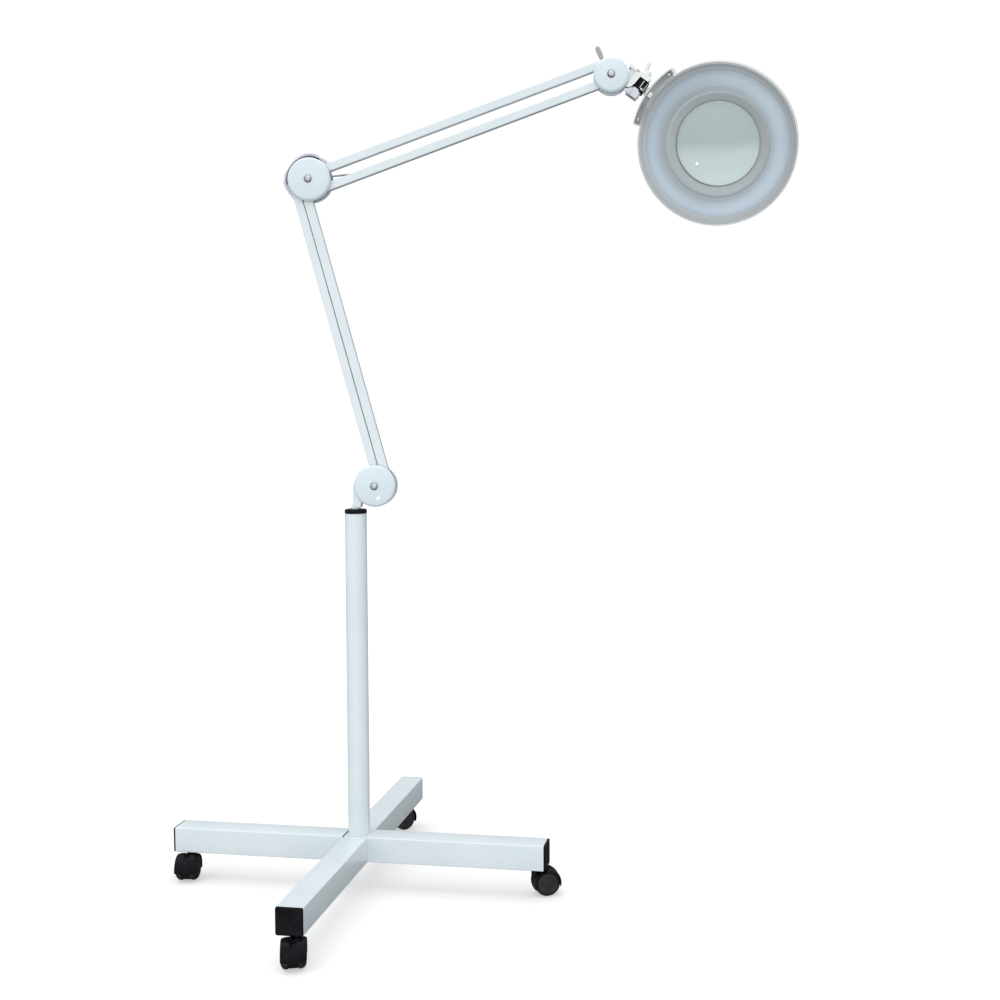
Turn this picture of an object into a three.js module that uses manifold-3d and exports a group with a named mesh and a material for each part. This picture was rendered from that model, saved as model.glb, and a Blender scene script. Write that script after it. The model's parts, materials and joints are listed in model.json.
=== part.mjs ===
// Floor-standing magnifying lamp: a steel cross on four twin-wheel casters, a post, two parallelogram
// arms between round joint covers, and a ring-light head with a glass lens.
// Millimetres, +Z up. The origin is where the post's axis meets the flat underside of the cross.
// +X runs along the right-hand beam and +Y along the back end of the through beam.
import * as THREE from 'three';
import { mergeVertices } from 'three/addons/utils/BufferGeometryUtils.js';
import Module from 'manifold-3d';

const wasm = await Module();
wasm.setup();

// ---------------------------------------------------------------- driving dimensions
const GAP = 0.3; // between pieces that touch in the real lamp
const [FINE, MEDIUM, COARSE] = [32, 20, 12]; // sides of large, middling and small rounds

const BEAM = { size: 38, wall: 2, corner: 2.5, reach: 287 };
const CAP = { lip: 3, plug: 9 };
const POST = { radius: 16, wall: 1.8, top: 525 };
const COLLAR = { height: 6, depth: 55 };
const PIN_RADIUS = 6;

const WHEEL = { radius: 19, inner: 6.4, outer: 16.4, edge: 5 };
const CASTER = { inset: 16, trail: 17, stemRadius: 4, stemTop: 30, stemBottom: -13, axleRadius: 2.4 };
const HOOD = { inner: 19.6, outer: 21.2, halfWidth: 16.6, web: 5.8 };
const FLOOR = -42.3;
const AXLE_HEIGHT = FLOOR + WHEEL.radius;
// where each beam points and where its caster trails, in degrees from +X
const LEGS = {
  right: { beam: 0, trail: 24 },
  back: { beam: 90, trail: -123 },
  left: { beam: 180, trail: -80 },
  front: { beam: 270, trail: -72 },
};

const ARM_PAN = 8; // the arm's plane, in degrees from +X
const LINK = { length: 450, size: 12, wall: 1.2, end: 6.1 };
const LOWER_ANGLE = 105.2; // the lower arm's slope above +X
const UPPER_ANGLE = 20.3; // the upper arm's slope above +X
const PIVOT = { radius: 3, hole: 3.25 };
const PLATE = { inner: 6.3, outer: 8.3 }; // a bracket's side plates, from the arm's middle plane

// joint centres and pivots in the arm's plane: x along the pan direction, z up
const BASE_JOINT = new THREE.Vector2(31, 566.5);
const BASE_PIVOT = new THREE.Vector2(1.5, 10.9); // outer lower link, from the base joint's centre
const ELBOW_LOWER_PIVOT = new THREE.Vector2(-24.3, -4.6); // the same link, from the elbow's centre
const LOWER_SPAN = new THREE.Vector2(26.4, 0).rotateAround(new THREE.Vector2(), rad(-42));
const ELBOW_UPPER_PIVOT = new THREE.Vector2(8, 11.1); // top upper link, from the elbow's centre
const END_PIVOT = new THREE.Vector2(-11.8, 17.6); // the same link, from the end joint's centre
const UPPER_SPAN = new THREE.Vector2(0, -27.5);

const DISC = { big: 31, elbow: 31.6, small: 25.6, offset: 8.7, depth: 8.4, wall: 2 };
const BOLT = { radius: 2.5, hole: 2.8 };

const NECK_ANGLE = -35.5; // the neck's slope from the end joint to the head
const NECK_RISE = 13; // the neck's axis above the end joint's centre, square to the neck
const NECK_LENGTH = 184; // end joint to head centre
const FORK = { start: 26.5, web: 4.5, pivot: 40.5, half: 16.5, plate: 4, halfWidth: 10, back: 14 };
const HEAD_SWING = 3;
const HEAD_ROLL = 20;

const HEAD = { radius: 118, wall: 2.5, front: 12, back: -20 };
const LENS = { radius: 63.5, edgeFront: -8.2, edgeBack: -12.2, bulge: 5 };
const MOUTH = 61.5; // the clear opening on both sides of the lens
const RING = { inner: 74, outer: 112, thickness: 2 }; // the diffuser
const BOARD = { inner: 78, outer: 104, bottom: -10.6, thickness: 1.6, leds: 12, ledSize: 3, ledHeight: 1.1 };
const TRAY = { inner: 118.5, outer: 128.5, wall: 2.5, halfAngle: 22.5, back: -11, floor: 5, front: 11 };
const SWITCH = { x: -93, length: 18, width: 12, tilt: 6 };

// ---------------------------------------------------------------- finishes
const finish = (color, roughness, metalness = 0) =>
  new THREE.MeshStandardMaterial({ color, roughness, metalness });
const PAINT = finish(0xe6edf2, 0.35);
const NYLON = finish(0x1d1d1f, 0.55);
const STEEL = finish(0xb9bcc0, 0.3, 1);
const WHITE_PLASTIC = finish(0xdde2e6, 0.42);
const GREY_PLASTIC = finish(0xb4babd, 0.5);
const DIFFUSER = finish(0xb4c4d4, 0.6);
const CIRCUIT = finish(0xf0f0ea, 0.5);
const GLASS = finish(0xc4d2d0, 0.05);
const CABLE = finish(0xe9eaf0, 0.5);

// ---------------------------------------------------------------- solids
function rad(degrees) {
  return (degrees * Math.PI) / 180;
}

function signedVolume(positions, triangles) {
  const [a, b, c] = [new THREE.Vector3(), new THREE.Vector3(), new THREE.Vector3()];
  let total = 0;
  for (let i = 0; i < triangles.length; i += 3) {
    [a, b, c].forEach((corner, k) => corner.fromArray(positions, triangles[i + k] * 3));
    total += a.dot(b.cross(c)) / 6;
  }
  return total;
}

// A closed three.js geometry as a manifold solid with its faces pointing out.
function toSolid(geometry) {
  const bare = geometry.clone();
  bare.deleteAttribute('normal');
  bare.deleteAttribute('uv');
  const merged = mergeVertices(bare, 1e-4);
  const vertProperties = new Float32Array(merged.attributes.position.array);
  const triVerts = new Uint32Array(merged.index.array);
  if (signedVolume(vertProperties, triVerts) < 0) {
    for (let i = 0; i < triVerts.length; i += 3) {
      [triVerts[i], triVerts[i + 1]] = [triVerts[i + 1], triVerts[i]];
    }
  }
  return new wasm.Manifold(new wasm.Mesh({ numProp: 3, vertProperties, triVerts }));
}

function toGeometry(solid) {
  const mesh = solid.getMesh();
  const geometry = new THREE.BufferGeometry();
  geometry.setAttribute('position', new THREE.BufferAttribute(new Float32Array(mesh.vertProperties), 3));
  geometry.setIndex(new THREE.BufferAttribute(new Uint32Array(mesh.triVerts), 1));
  geometry.computeVertexNormals();
  return geometry;
}

const join = (...solids) => solids.reduce((whole, next) => whole.add(next));
const cut = (solid, ...tools) => tools.reduce((rest, tool) => rest.subtract(tool), solid);

function block([x0, x1], [y0, y1], [z0, z1]) {
  const geometry = new THREE.BoxGeometry(x1 - x0, y1 - y0, z1 - z0);
  geometry.translate((x0 + x1) / 2, (y0 + y1) / 2, (z0 + z1) / 2);
  return toSolid(geometry);
}

// A round bar between two points.
function bar(radius, from, to, sides = 20) {
  const start = new THREE.Vector3(...from);
  const axis = new THREE.Vector3(...to).sub(start);
  const geometry = new THREE.CylinderGeometry(radius, radius, axis.length(), sides);
  geometry.translate(0, axis.length() / 2, 0);
  geometry.applyQuaternion(new THREE.Quaternion().setFromUnitVectors(new THREE.Vector3(0, 1, 0),
    axis.normalize()));
  geometry.translate(...from);
  return toSolid(geometry);
}

// A bar across the arm's plane, from y0 to y1, at (x, z).
const crossBar = (radius, { x, y }, [y0, y1], sides) => bar(radius, [x, y0, y], [x, y1, y], sides);

// A profile of [radius, height] points turned about Z; it closes on itself or on the axis.
function turned(profile, sides) {
  const points = profile.map(([r, z]) => new THREE.Vector2(r, z));
  if (profile[0][0] > 0) points.push(points[0].clone());
  const geometry = new THREE.LatheGeometry(points, sides);
  geometry.rotateX(Math.PI / 2);
  return toSolid(geometry);
}

function extruded(shape, depth, curveSegments = 6) {
  return toSolid(new THREE.ExtrudeGeometry(shape, { depth, bevelEnabled: false, curveSegments }));
}

function roundedRectangle(width, height, radius) {
  const [x, y] = [width / 2, height / 2];
  const shape = new THREE.Shape();
  shape.moveTo(x, y - radius);
  shape.absarc(x - radius, y - radius, radius, 0, Math.PI / 2);
  shape.absarc(-x + radius, y - radius, radius, Math.PI / 2, Math.PI);
  shape.absarc(-x + radius, -y + radius, radius, Math.PI, 1.5 * Math.PI);
  shape.absarc(x - radius, -y + radius, radius, 1.5 * Math.PI, 2 * Math.PI);
  return shape;
}

// A ring sector in the XY plane about the origin, between two angles in degrees.
function sector(inner, outer, from, to, curveSteps = 8) {
  const shape = new THREE.Shape();
  const at = (radius, degrees) => [radius * Math.cos(rad(degrees)), radius * Math.sin(rad(degrees))];
  for (let i = 0; i <= curveSteps; i++) {
    const point = at(outer, from + ((to - from) * i) / curveSteps);
    if (i === 0) shape.moveTo(...point);
    else shape.lineTo(...point);
  }
  for (let i = curveSteps; i >= 0; i--) shape.lineTo(...at(inner, from + ((to - from) * i) / curveSteps));
  return shape;
}

// ---------------------------------------------------------------- placing
const lamp = new THREE.Group();

function frameIn(parent, { position = [0, 0, 0], turn = [0, 0, 0] }) {
  const group = new THREE.Group();
  group.position.set(...position);
  group.rotation.set(...turn.map(rad));
  parent.add(group);
  return group;
}

function piece(parent, name, solid, material, { position = [0, 0, 0], turn = [0, 0, 0] } = {}) {
  const mesh = new THREE.Mesh(toGeometry(solid), material);
  mesh.name = name;
  mesh.position.set(...position);
  mesh.rotation.set(...turn.map(rad));
  parent.add(mesh);
  return mesh;
}

// ---------------------------------------------------------------- cross base
// A square tube along +X, from x0 to x1, resting on z = 0, with a caster hole at each given x.
function beamTube(x0, x1, holes) {
  const { size, wall, corner } = BEAM;
  const outer = extruded(roundedRectangle(size, size, corner), x1 - x0, 2);
  const inner = extruded(roundedRectangle(size - 2 * wall, size - 2 * wall, corner - 1), x1 - x0 + 2, 2);
  const tube = cut(outer, inner.translate([0, 0, -1]))
    .rotate([90, 0, 90])
    .translate([x0, 0, size / 2]);
  const bore = CASTER.stemRadius + GAP;
  return cut(tube, ...holes.map((x) => bar(bore, [x, 0, -1], [x, 0, wall + 1], COARSE)));
}

function endCap() {
  const { size, wall, corner, reach } = BEAM;
  const lip = extruded(roundedRectangle(size, size, corner), CAP.lip, 2);
  const plugSize = size - 2 * wall - 2 * GAP;
  const plug = extruded(roundedRectangle(plugSize, plugSize, 1), CAP.plug + 1, 2);
  return join(lip, plug.translate([0, 0, -CAP.plug]))
    .rotate([90, 0, 90])
    .translate([reach + GAP, 0, size / 2]);
}

const stemAt = BEAM.reach - CASTER.inset;

function buildCross() {
  const half = BEAM.size / 2;
  const through = beamTube(-BEAM.reach, BEAM.reach, [-stemAt, stemAt]);
  const side = beamTube(half + GAP, BEAM.reach, [stemAt]);
  piece(lamp, 'beam_through', through, PAINT, { turn: [0, 0, 90] });
  piece(lamp, 'beam_right', side, PAINT);
  piece(lamp, 'beam_left', side, PAINT, { turn: [0, 0, 180] });
  for (const [leg, { beam }] of Object.entries(LEGS)) {
    piece(lamp, `end_cap_${leg}`, endCap(), NYLON, { turn: [0, 0, beam] });
  }
}

// ---------------------------------------------------------------- casters
// In a caster's own frame the stem stands on the origin and the wheels trail towards +X.
const axle = { x: CASTER.trail, y: AXLE_HEIGHT };

function casterStem() {
  return bar(CASTER.stemRadius, [0, 0, CASTER.stemBottom], [0, 0, CASTER.stemTop], COARSE);
}

function casterHood() {
  const { inner, outer, halfWidth, web } = HOOD;
  const round = (radius, half) => crossBar(radius, axle, [-half, half], MEDIUM);
  const above = block([-60, 60], [-40, 40], [AXLE_HEIGHT - 3.5, 10]);
  const shell = cut(round(outer, halfWidth), round(inner, halfWidth + 1)).intersect(above);
  const plate = round(inner + 0.5, web).intersect(above);
  const hub = round(9, web);
  const slice = block([-20, 60], [-web, web], [-60, 10]);
  const boss = bar(7.5, [0, 0, -24], [0, 0, -2.2], MEDIUM).intersect(slice);
  const stemBore = bar(CASTER.stemRadius + GAP, [0, 0, CASTER.stemBottom - GAP], [0, 0, 5], COARSE);
  const axleBore = crossBar(CASTER.axleRadius + GAP, axle, [-20, 20], COARSE);
  return cut(join(shell, plate, hub, boss), stemBore, axleBore);
}

function casterWheel(side, bored) {
  const { radius, inner, outer, edge } = WHEEL;
  const crown = [0, 45, 90].map((degrees) => [
    radius - edge + edge * Math.cos(rad(degrees)),
    outer - edge + edge * Math.sin(rad(degrees)),
  ]);
  const profile = [[0, inner], [radius - 0.8, inner], [radius, inner + 1], ...crown, [0, outer]];
  const wheel = turned(profile, MEDIUM)
    .rotate([side > 0 ? -90 : 90, 0, 0])
    .translate([axle.x, 0, axle.y]);
  const far = outer - 1;
  if (bored) return cut(wheel, crossBar(CASTER.axleRadius + GAP, axle, [-far - 5, far + 5], COARSE));
  return join(wheel, crossBar(CASTER.axleRadius, axle, [-side * far, side * far], COARSE));
}

function buildCasters() {
  for (const [leg, { beam, trail }] of Object.entries(LEGS)) {
    const position = [stemAt * Math.cos(rad(beam)), stemAt * Math.sin(rad(beam)), 0];
    const caster = frameIn(lamp, { position, turn: [0, 0, trail] });
    piece(caster, `caster_stem_${leg}`, casterStem(), STEEL);
    piece(caster, `caster_hood_${leg}`, casterHood(), NYLON);
    piece(caster, `wheel_near_${leg}`, casterWheel(-1, false), NYLON);
    piece(caster, `wheel_far_${leg}`, casterWheel(1, true), NYLON);
  }
}

// ---------------------------------------------------------------- post
function buildPost() {
  const { radius, wall, top } = POST;
  const bottom = BEAM.size + GAP;
  const inner = radius - wall;
  const bore = bar(inner, [0, 0, bottom - 1], [0, 0, top + 1], MEDIUM);
  const tube = cut(bar(radius, [0, 0, bottom], [0, 0, top], MEDIUM), bore);
  piece(lamp, 'post', tube, PAINT);

  const seat = top + GAP;
  const bush = inner - GAP;
  const pinBore = PIN_RADIUS + GAP;
  const lip = radius + 0.4;
  const profile = [
    [pinBore, seat - COLLAR.depth], [bush, seat - COLLAR.depth], [bush, seat], [lip, seat],
    [lip, seat + COLLAR.height - 1.5], [lip - 1.5, seat + COLLAR.height], [pinBore, seat + COLLAR.height],
  ];
  piece(lamp, 'post_collar', turned(profile, 32), NYLON);
}

// ---------------------------------------------------------------- arm
const arm = frameIn(lamp, { turn: [0, 0, ARM_PAN] });

const along = (start, degrees, length) =>
  start.clone().add(new THREE.Vector2(length, 0).rotateAround(new THREE.Vector2(), rad(degrees)));
const sum = (a, b) => a.clone().add(b);

const lowerOuterFoot = sum(BASE_JOINT, BASE_PIVOT);
const lowerInnerFoot = sum(lowerOuterFoot, LOWER_SPAN);
const ELBOW = along(lowerOuterFoot, LOWER_ANGLE, LINK.length).sub(ELBOW_LOWER_PIVOT);
const upperTopFoot = sum(ELBOW, ELBOW_UPPER_PIVOT);
const upperBottomFoot = sum(upperTopFoot, UPPER_SPAN);
const END = along(upperTopFoot, UPPER_ANGLE, LINK.length).sub(END_PIVOT);

const platePair = (radius, { x, y }) =>
  [-1, 1].map((side) => crossBar(radius, { x, y }, [side * PLATE.inner, side * PLATE.outer], MEDIUM));

// Two round side plates riveted together by their pivots, with the cover bolt's hole in the middle.
function bracket(centre, radius, pivots, extras = []) {
  const rivetEnds = [-PLATE.inner - 1, PLATE.inner + 1];
  const rivets = pivots.map((pivot) => crossBar(PIVOT.radius, pivot, rivetEnds, COARSE));
  const plates = join(...platePair(radius, centre), ...rivets, ...extras);
  return cut(plates, crossBar(BOLT.hole, centre, [-20, 20], COARSE));
}

// The lowest bracket also carries the pin that turns in the post's collar.
const NECK_LEFT = -3;

function armBracket() {
  const pivots = [lowerOuterFoot, lowerInnerFoot];
  const top = BASE_JOINT.y + 5;
  const seat = POST.top + GAP + COLLAR.height + GAP;
  const neck = block([NECK_LEFT, 9], [-PLATE.outer, PLATE.outer], [seat + 7, top]);
  const sides = [-1, 1].map((side) => {
    const [near, far] = [side * PLATE.inner, side * PLATE.outer].sort((a, b) => a - b);
    return block([0, BASE_JOINT.x], [near, far], [BASE_JOINT.y - 22, top]);
  });
  const pin = bar(PIN_RADIUS, [0, 0, POST.top - COLLAR.depth + 2], [0, 0, seat + 14], MEDIUM);
  const shoulder = bar(8.5, [0, 0, seat], [0, 0, seat + 3], MEDIUM);
  return bracket(BASE_JOINT, 28.5, pivots, [neck, ...sides, pin, shoulder]);
}

// A square tube with round ends, pivot holes and, if asked for, a slot in its top wall.
function link(slot) {
  const { length, size, wall, end } = LINK;
  const half = size / 2;
  const outer = block([-end, length + end], [-half, half], [-half, half]);
  const inner = block([-end - 1, length + end + 1], [wall - half, half - wall], [wall - half, half - wall]);
  const ends = [0, length].map((x) => bar(end, [x, -half, 0], [x, half, 0], COARSE));
  const outline = join(block([0, length], [-half, half], [-half, half]), ...ends);
  const holes = [0, length].map((x) => bar(PIVOT.hole, [x, -half - 1, 0], [x, half + 1, 0], COARSE));
  const tube = cut(outer.intersect(outline), inner, ...holes);
  return slot ? cut(tube, block(slot, [-2.2, 2.2], [0, half + 1])) : tube;
}

// In its link's frame: a coil of the given outer size, and a bent hook rod that rises out of the slot.
const SPRING = { start: 80, end: 210, radius: 3.4, rod: 1.3 };
const HOOK = [[24, 13.1], [31, 12.2], [56.4, 5.9], [SPRING.start + 4, 0.5]];

function spring(hooked) {
  const coil = bar(SPRING.radius, [SPRING.start, 0, 0], [SPRING.end, 0, 0], COARSE);
  if (!hooked) return coil;
  const rods = HOOK.slice(1).map(([x, z], i) => {
    const [fromX, fromZ] = HOOK[i];
    return bar(SPRING.rod, [fromX, 0, fromZ], [x, 0, z], COARSE);
  });
  return join(coil, ...rods);
}

// A round pressed cover: a shallow domed shell with a rolled rim and a hole for its bolt.
function disc(radius) {
  const { depth, wall } = DISC;
  return turned([
    [radius, 0], [radius, 3.2], [radius - 3, 6.2], [radius * 0.5, depth - 0.5], [BOLT.hole, depth],
    [BOLT.hole, depth - wall], [radius - 4, 6.2 - wall], [radius - wall, 2.4], [radius - wall, 0],
  ], MEDIUM);
}

// A through bolt with a domed head in front and a nut behind.
function coverBolt(tail = 0) {
  const reach = DISC.offset + DISC.depth + GAP;
  const shank = bar(BOLT.radius, [0, -reach - 1, 0], [0, reach + 1 + tail, 0], COARSE);
  const dome = turned([[0, 0], [5.2, 0], [5.2, 0.8], [4.2, 2], [2.6, 2.8], [0, 3.1]], COARSE)
    .rotate([90, 0, 0])
    .translate([0, -reach, 0]);
  if (tail) return join(shank, dome);
  return join(shank, dome, bar(4.6, [0, reach, 0], [0, reach + 3.4, 0], 6));
}

// Covers on both sides of a joint, and the bolt that holds them.
function addJointCovers(name, centre, radius, tail = 0) {
  const place = (y, turn) => ({ position: [centre.x, y, centre.y], turn: [turn, 0, 0] });
  piece(arm, `${name}_disc_front`, disc(radius), WHITE_PLASTIC, place(-DISC.offset, 90));
  piece(arm, `${name}_disc_rear`, rearDisc(name, radius), WHITE_PLASTIC, place(DISC.offset, -90));
  piece(arm, `${name}_bolt`, coverBolt(tail), STEEL, { position: [centre.x, 0, centre.y] });
}

// The mains lead enters through a bushed hole low in the base joint's rear cover.
const GROMMET = { drop: 19, radius: 5, bore: 3 };

function rearDisc(name, radius) {
  if (name !== 'base') return disc(radius);
  return cut(disc(radius), bar(GROMMET.radius + GAP, [0, GROMMET.drop, 0], [0, GROMMET.drop, 20], COARSE));
}

function buildGrommet() {
  const { radius, bore, drop } = GROMMET;
  const profile = [[bore, 2], [radius, 2], [radius, 8.4], [radius + 2, 8.4], [radius + 1.2, 11], [bore, 14]];
  const place = { position: [BASE_JOINT.x, DISC.offset, BASE_JOINT.y - drop], turn: [-90, 0, 0] };
  piece(arm, 'cord_grommet', turned(profile, 16), NYLON, place);
}

function addLink(name, foot, angle, slot) {
  const place = { position: [foot.x, 0, foot.y], turn: [0, -angle, 0] };
  piece(arm, name, link(slot), PAINT, place);
  return place;
}

function buildLowerArm() {
  piece(arm, 'arm_bracket', armBracket(), PAINT);
  addJointCovers('base', BASE_JOINT, DISC.big);
  buildGrommet();
  addLink('lower_link_outer', lowerOuterFoot, LOWER_ANGLE);
  const place = addLink('lower_link_inner', lowerInnerFoot, LOWER_ANGLE);
  piece(arm, 'lower_spring', spring(false), STEEL, place);
}

// The lamp's own cable between the two arms: it bows out round the elbow's covers.
// Each entry is an angle in degrees about the elbow and the cable's distance from it.
const CABLE_ROUTE = [
  [68, 35.2], [78, 37], [90, 37.6], [105, 37.2], [122, 35.6],
  [140, 34.3], [150, 34.4], [165, 36.2], [179, 36.6],
];
const CABLE_RADIUS = 2.5;

function elbowCable() {
  const points = CABLE_ROUTE.map(([degrees, radius]) =>
    new THREE.Vector3(radius * Math.cos(rad(degrees)), 0, radius * Math.sin(rad(degrees))));
  const section = new THREE.Shape();
  for (let i = 0; i < 8; i++) {
    const point = [CABLE_RADIUS * Math.cos(rad(45 * i)), CABLE_RADIUS * Math.sin(rad(45 * i))];
    if (i === 0) section.moveTo(...point);
    else section.lineTo(...point);
  }
  const extrudePath = new THREE.CatmullRomCurve3(points);
  return toSolid(new THREE.ExtrudeGeometry(section, { steps: 14, extrudePath, curveSegments: 1 }));
}

function buildUpperArm() {
  const lowerHeads = [lowerOuterFoot, lowerInnerFoot].map((foot) => along(foot, LOWER_ANGLE, LINK.length));
  const elbowPivots = [...lowerHeads, upperTopFoot, upperBottomFoot];
  piece(arm, 'elbow_bracket', bracket(ELBOW, 29, elbowPivots), PAINT);
  addJointCovers('elbow', ELBOW, DISC.elbow);
  piece(arm, 'elbow_cable', elbowCable(), CABLE, { position: [ELBOW.x, 0, ELBOW.y] });
  addLink('upper_link_top', upperTopFoot, UPPER_ANGLE);
  const place = addLink('upper_link_bottom', upperBottomFoot, UPPER_ANGLE, [36, 84]);
  piece(arm, 'upper_spring', spring(true), STEEL, place);
}

// A hub on the end bolt's tail with a flattened handle.
const LEVER = { hub: 8, start: 18.4, end: 27, length: 54, width: 7.5, angle: 113 };

function tiltLever() {
  const { hub, start, end, length, width } = LEVER;
  const body = bar(hub, [0, start, 0], [0, end, 0], MEDIUM);
  const handle = join(
    block([4, length - width / 2], [start + 2, end - 1], [-width / 2, width / 2]),
    bar(width / 2, [length - width / 2, start + 2, 0], [length - width / 2, end - 1, 0], COARSE),
  );
  return cut(join(body, handle), bar(BOLT.hole, [0, start - 1, 0], [0, end - 2, 0], COARSE));
}

function buildEndJoint() {
  const pivots = [upperTopFoot, upperBottomFoot].map((foot) => along(foot, UPPER_ANGLE, LINK.length));
  piece(arm, 'end_bracket', bracket(END, 25, pivots), PAINT);
  addJointCovers('end', END, DISC.small, 6);
  const place = { position: [END.x, 0, END.y], turn: [0, -LEVER.angle, 0] };
  piece(arm, 'tilt_lever', tiltLever(), GREY_PLASTIC, place);
}

// ---------------------------------------------------------------- neck
// In the neck's frame: x from the end joint to the head, y to the rear, z square to both.
const neck = frameIn(arm, { position: [END.x, 0, END.y], turn: [0, -NECK_ANGLE, 0] });

function knuckleFork() {
  const { start, web, pivot, half, plate, halfWidth, back } = FORK;
  const lug = bar(8, [0, -5.9, 0], [0, 5.9, 0], MEDIUM);
  const shank = block([2, start + 1], [-5.9, 5.9], [-3.5, 13]);
  const backWall = block([start, start + web], [-halfWidth, halfWidth], [NECK_RISE - half, NECK_RISE + half]);
  const jaw = (z, from) => join(
    block([from, pivot], [-halfWidth, halfWidth], [z, z + plate]),
    bar(halfWidth, [pivot, 0, z], [pivot, 0, z + plate], MEDIUM),
  );
  const jaws = join(jaw(NECK_RISE + half - plate, back), jaw(NECK_RISE - half, start));
  const tiltBore = bar(BOLT.hole, [0, -10, 0], [0, 10, 0], COARSE);
  const swingBore = bar(BOLT.hole, [pivot, 0, -30], [pivot, 0, 50], COARSE);
  return cut(join(lug, shank, backWall, jaws), tiltBore, swingBore);
}

function swingBolt() {
  const seat = FORK.half + GAP;
  const shank = bar(BOLT.radius, [0, 0, -seat - 1], [0, 0, seat + 7], COARSE);
  return join(shank, bar(5, [0, 0, -seat - 3.6], [0, 0, -seat], 6));
}

// A nut with one tall ear to push on and a short one opposite.
function wingNut() {
  const seat = FORK.half + GAP;
  const hub = turned([[0, seat], [6, seat], [4.6, seat + 9], [0, seat + 9]], MEDIUM);
  const tall = new THREE.Shape();
  tall.moveTo(1, 1);
  tall.lineTo(6, 1);
  tall.quadraticCurveTo(7, 6, 9.2, 17);
  tall.quadraticCurveTo(8.4, 20.5, 5.6, 18);
  tall.quadraticCurveTo(4.6, 11, 1, 8);
  const short = new THREE.Shape();
  short.moveTo(1, 1);
  short.lineTo(6, 1);
  short.quadraticCurveTo(8.5, 3, 9, 7);
  short.quadraticCurveTo(7.5, 9.5, 6, 7.5);
  short.quadraticCurveTo(5, 6, 1, 6);
  const ears = [tall, short].map((ear, i) => extruded(ear, 3.4, 4)
    .translate([0, 0, -1.7])
    .rotate([90, 0, 180 * i])
    .translate([0, 0, seat]));
  return cut(join(hub, ...ears), bar(BOLT.hole, [0, 0, seat - 1], [0, 0, seat + 7.4], COARSE));
}

const SPINDLE = { radius: 4, tip: 3.6, boss: 7 };

function swivelBlock() {
  const height = FORK.half - FORK.plate - GAP;
  const barrel = bar(9, [0, 0, -height], [0, 0, height], MEDIUM);
  const nose = block([0, 11.6], [-8, 8], [-9, 9]);
  const bolt = bar(BOLT.hole, [0, 0, -20], [0, 0, 20], COARSE);
  const bore = bar(SPINDLE.radius + GAP, [SPINDLE.tip - GAP, 0, 0], [20, 0, 0], COARSE);
  return cut(join(barrel, nose), bolt, bore);
}

const swivel = frameIn(neck, { position: [FORK.pivot, 0, NECK_RISE], turn: [0, 0, HEAD_SWING] });

function buildNeck() {
  const pivot = { position: [FORK.pivot, 0, NECK_RISE] };
  piece(neck, 'knuckle_fork', knuckleFork(), WHITE_PLASTIC);
  piece(neck, 'swing_bolt', swingBolt(), STEEL, pivot);
  piece(neck, 'wing_nut', wingNut(), WHITE_PLASTIC, { ...pivot, turn: [0, 0, 213] });
  piece(swivel, 'swivel_block', swivelBlock(), NYLON);
}

// ---------------------------------------------------------------- head
// In the head's frame: z out of the lit face, x away from the neck, origin on the neck's axis.
const headReach = NECK_LENGTH - FORK.pivot;
const head = frameIn(frameIn(swivel, { position: [headReach, 0, 0], turn: [HEAD_ROLL, 0, 0] }),
  { turn: [90, 0, 0] });

function headHousing() {
  const { radius, wall, front, back } = HEAD;
  const inside = radius - wall;
  const sleeve = LENS.radius + 0.8;
  const shell = turned([
    [radius, front], [radius, back + 10], [radius - 2.8, back + 4], [radius - 9, back + 0.6],
    [radius - 16, back], [72, back], [70.5, back - wall], [MOUTH, back - wall], [MOUTH, -12.9],
    [sleeve, -12.9], [sleeve, -7], [sleeve + 2.2, -7], [sleeve + 2.2, back + wall],
    [radius - 13, back + wall], [inside - 2.4, back + 6], [inside, back + 11], [inside, front],
  ], FINE);
  const halfLength = SWITCH.length / 2 + 1;
  const halfWidth = SWITCH.width / 2 + 1;
  const window = block([SWITCH.x - halfWidth, SWITCH.x + halfWidth], [-halfLength, halfLength],
    [back - 5, back + wall + 1]);
  return cut(shell, window);
}

function headBezel() {
  const outer = HEAD.radius - HEAD.wall - GAP;
  return turned([[outer, 11.6], [105, 4.8], [105, 2.4], [110, 4.4], [outer, 8.6]], FINE);
}

function diffuser() {
  const { inner, outer, thickness } = RING;
  return turned([[inner, 0], [outer, 0], [outer, thickness], [inner, thickness]], FINE);
}

// The cone that leads from the diffuser down to the lens.
function innerCollar() {
  return turned([
    [76.5, 2.4], [76.5, 4], [74.5, 4.6], [MOUTH, -5.4],
    [MOUTH, -7.6], [63.8, -7.6], [63.8, -6.2], [72.6, 2.4],
  ], FINE);
}

function ledBoard() {
  const { inner, outer, bottom, thickness, leds, ledSize, ledHeight } = BOARD;
  const top = bottom + thickness;
  const board = turned([[inner, bottom], [outer, bottom], [outer, top], [inner, top]], FINE);
  const middle = (inner + outer) / 2;
  const half = ledSize / 2;
  const led = block([middle - half, middle + half], [-half, half], [top - 0.5, top + ledHeight]);
  const ring = Array.from({ length: leds }, (_, i) => led.rotate([0, 0, (360 * i) / leds]));
  return join(board, ...ring);
}

function lens() {
  const { radius, edgeFront, edgeBack, bulge } = LENS;
  const steps = 4;
  const face = (edge, rise) => Array.from({ length: steps + 1 }, (_, i) => {
    const r = (radius * i) / steps;
    return [r, edge + rise * (1 - (r / radius) ** 2)];
  });
  return turned([...face(edgeBack, -bulge), ...face(edgeFront, bulge).reverse()], FINE);
}

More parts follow.
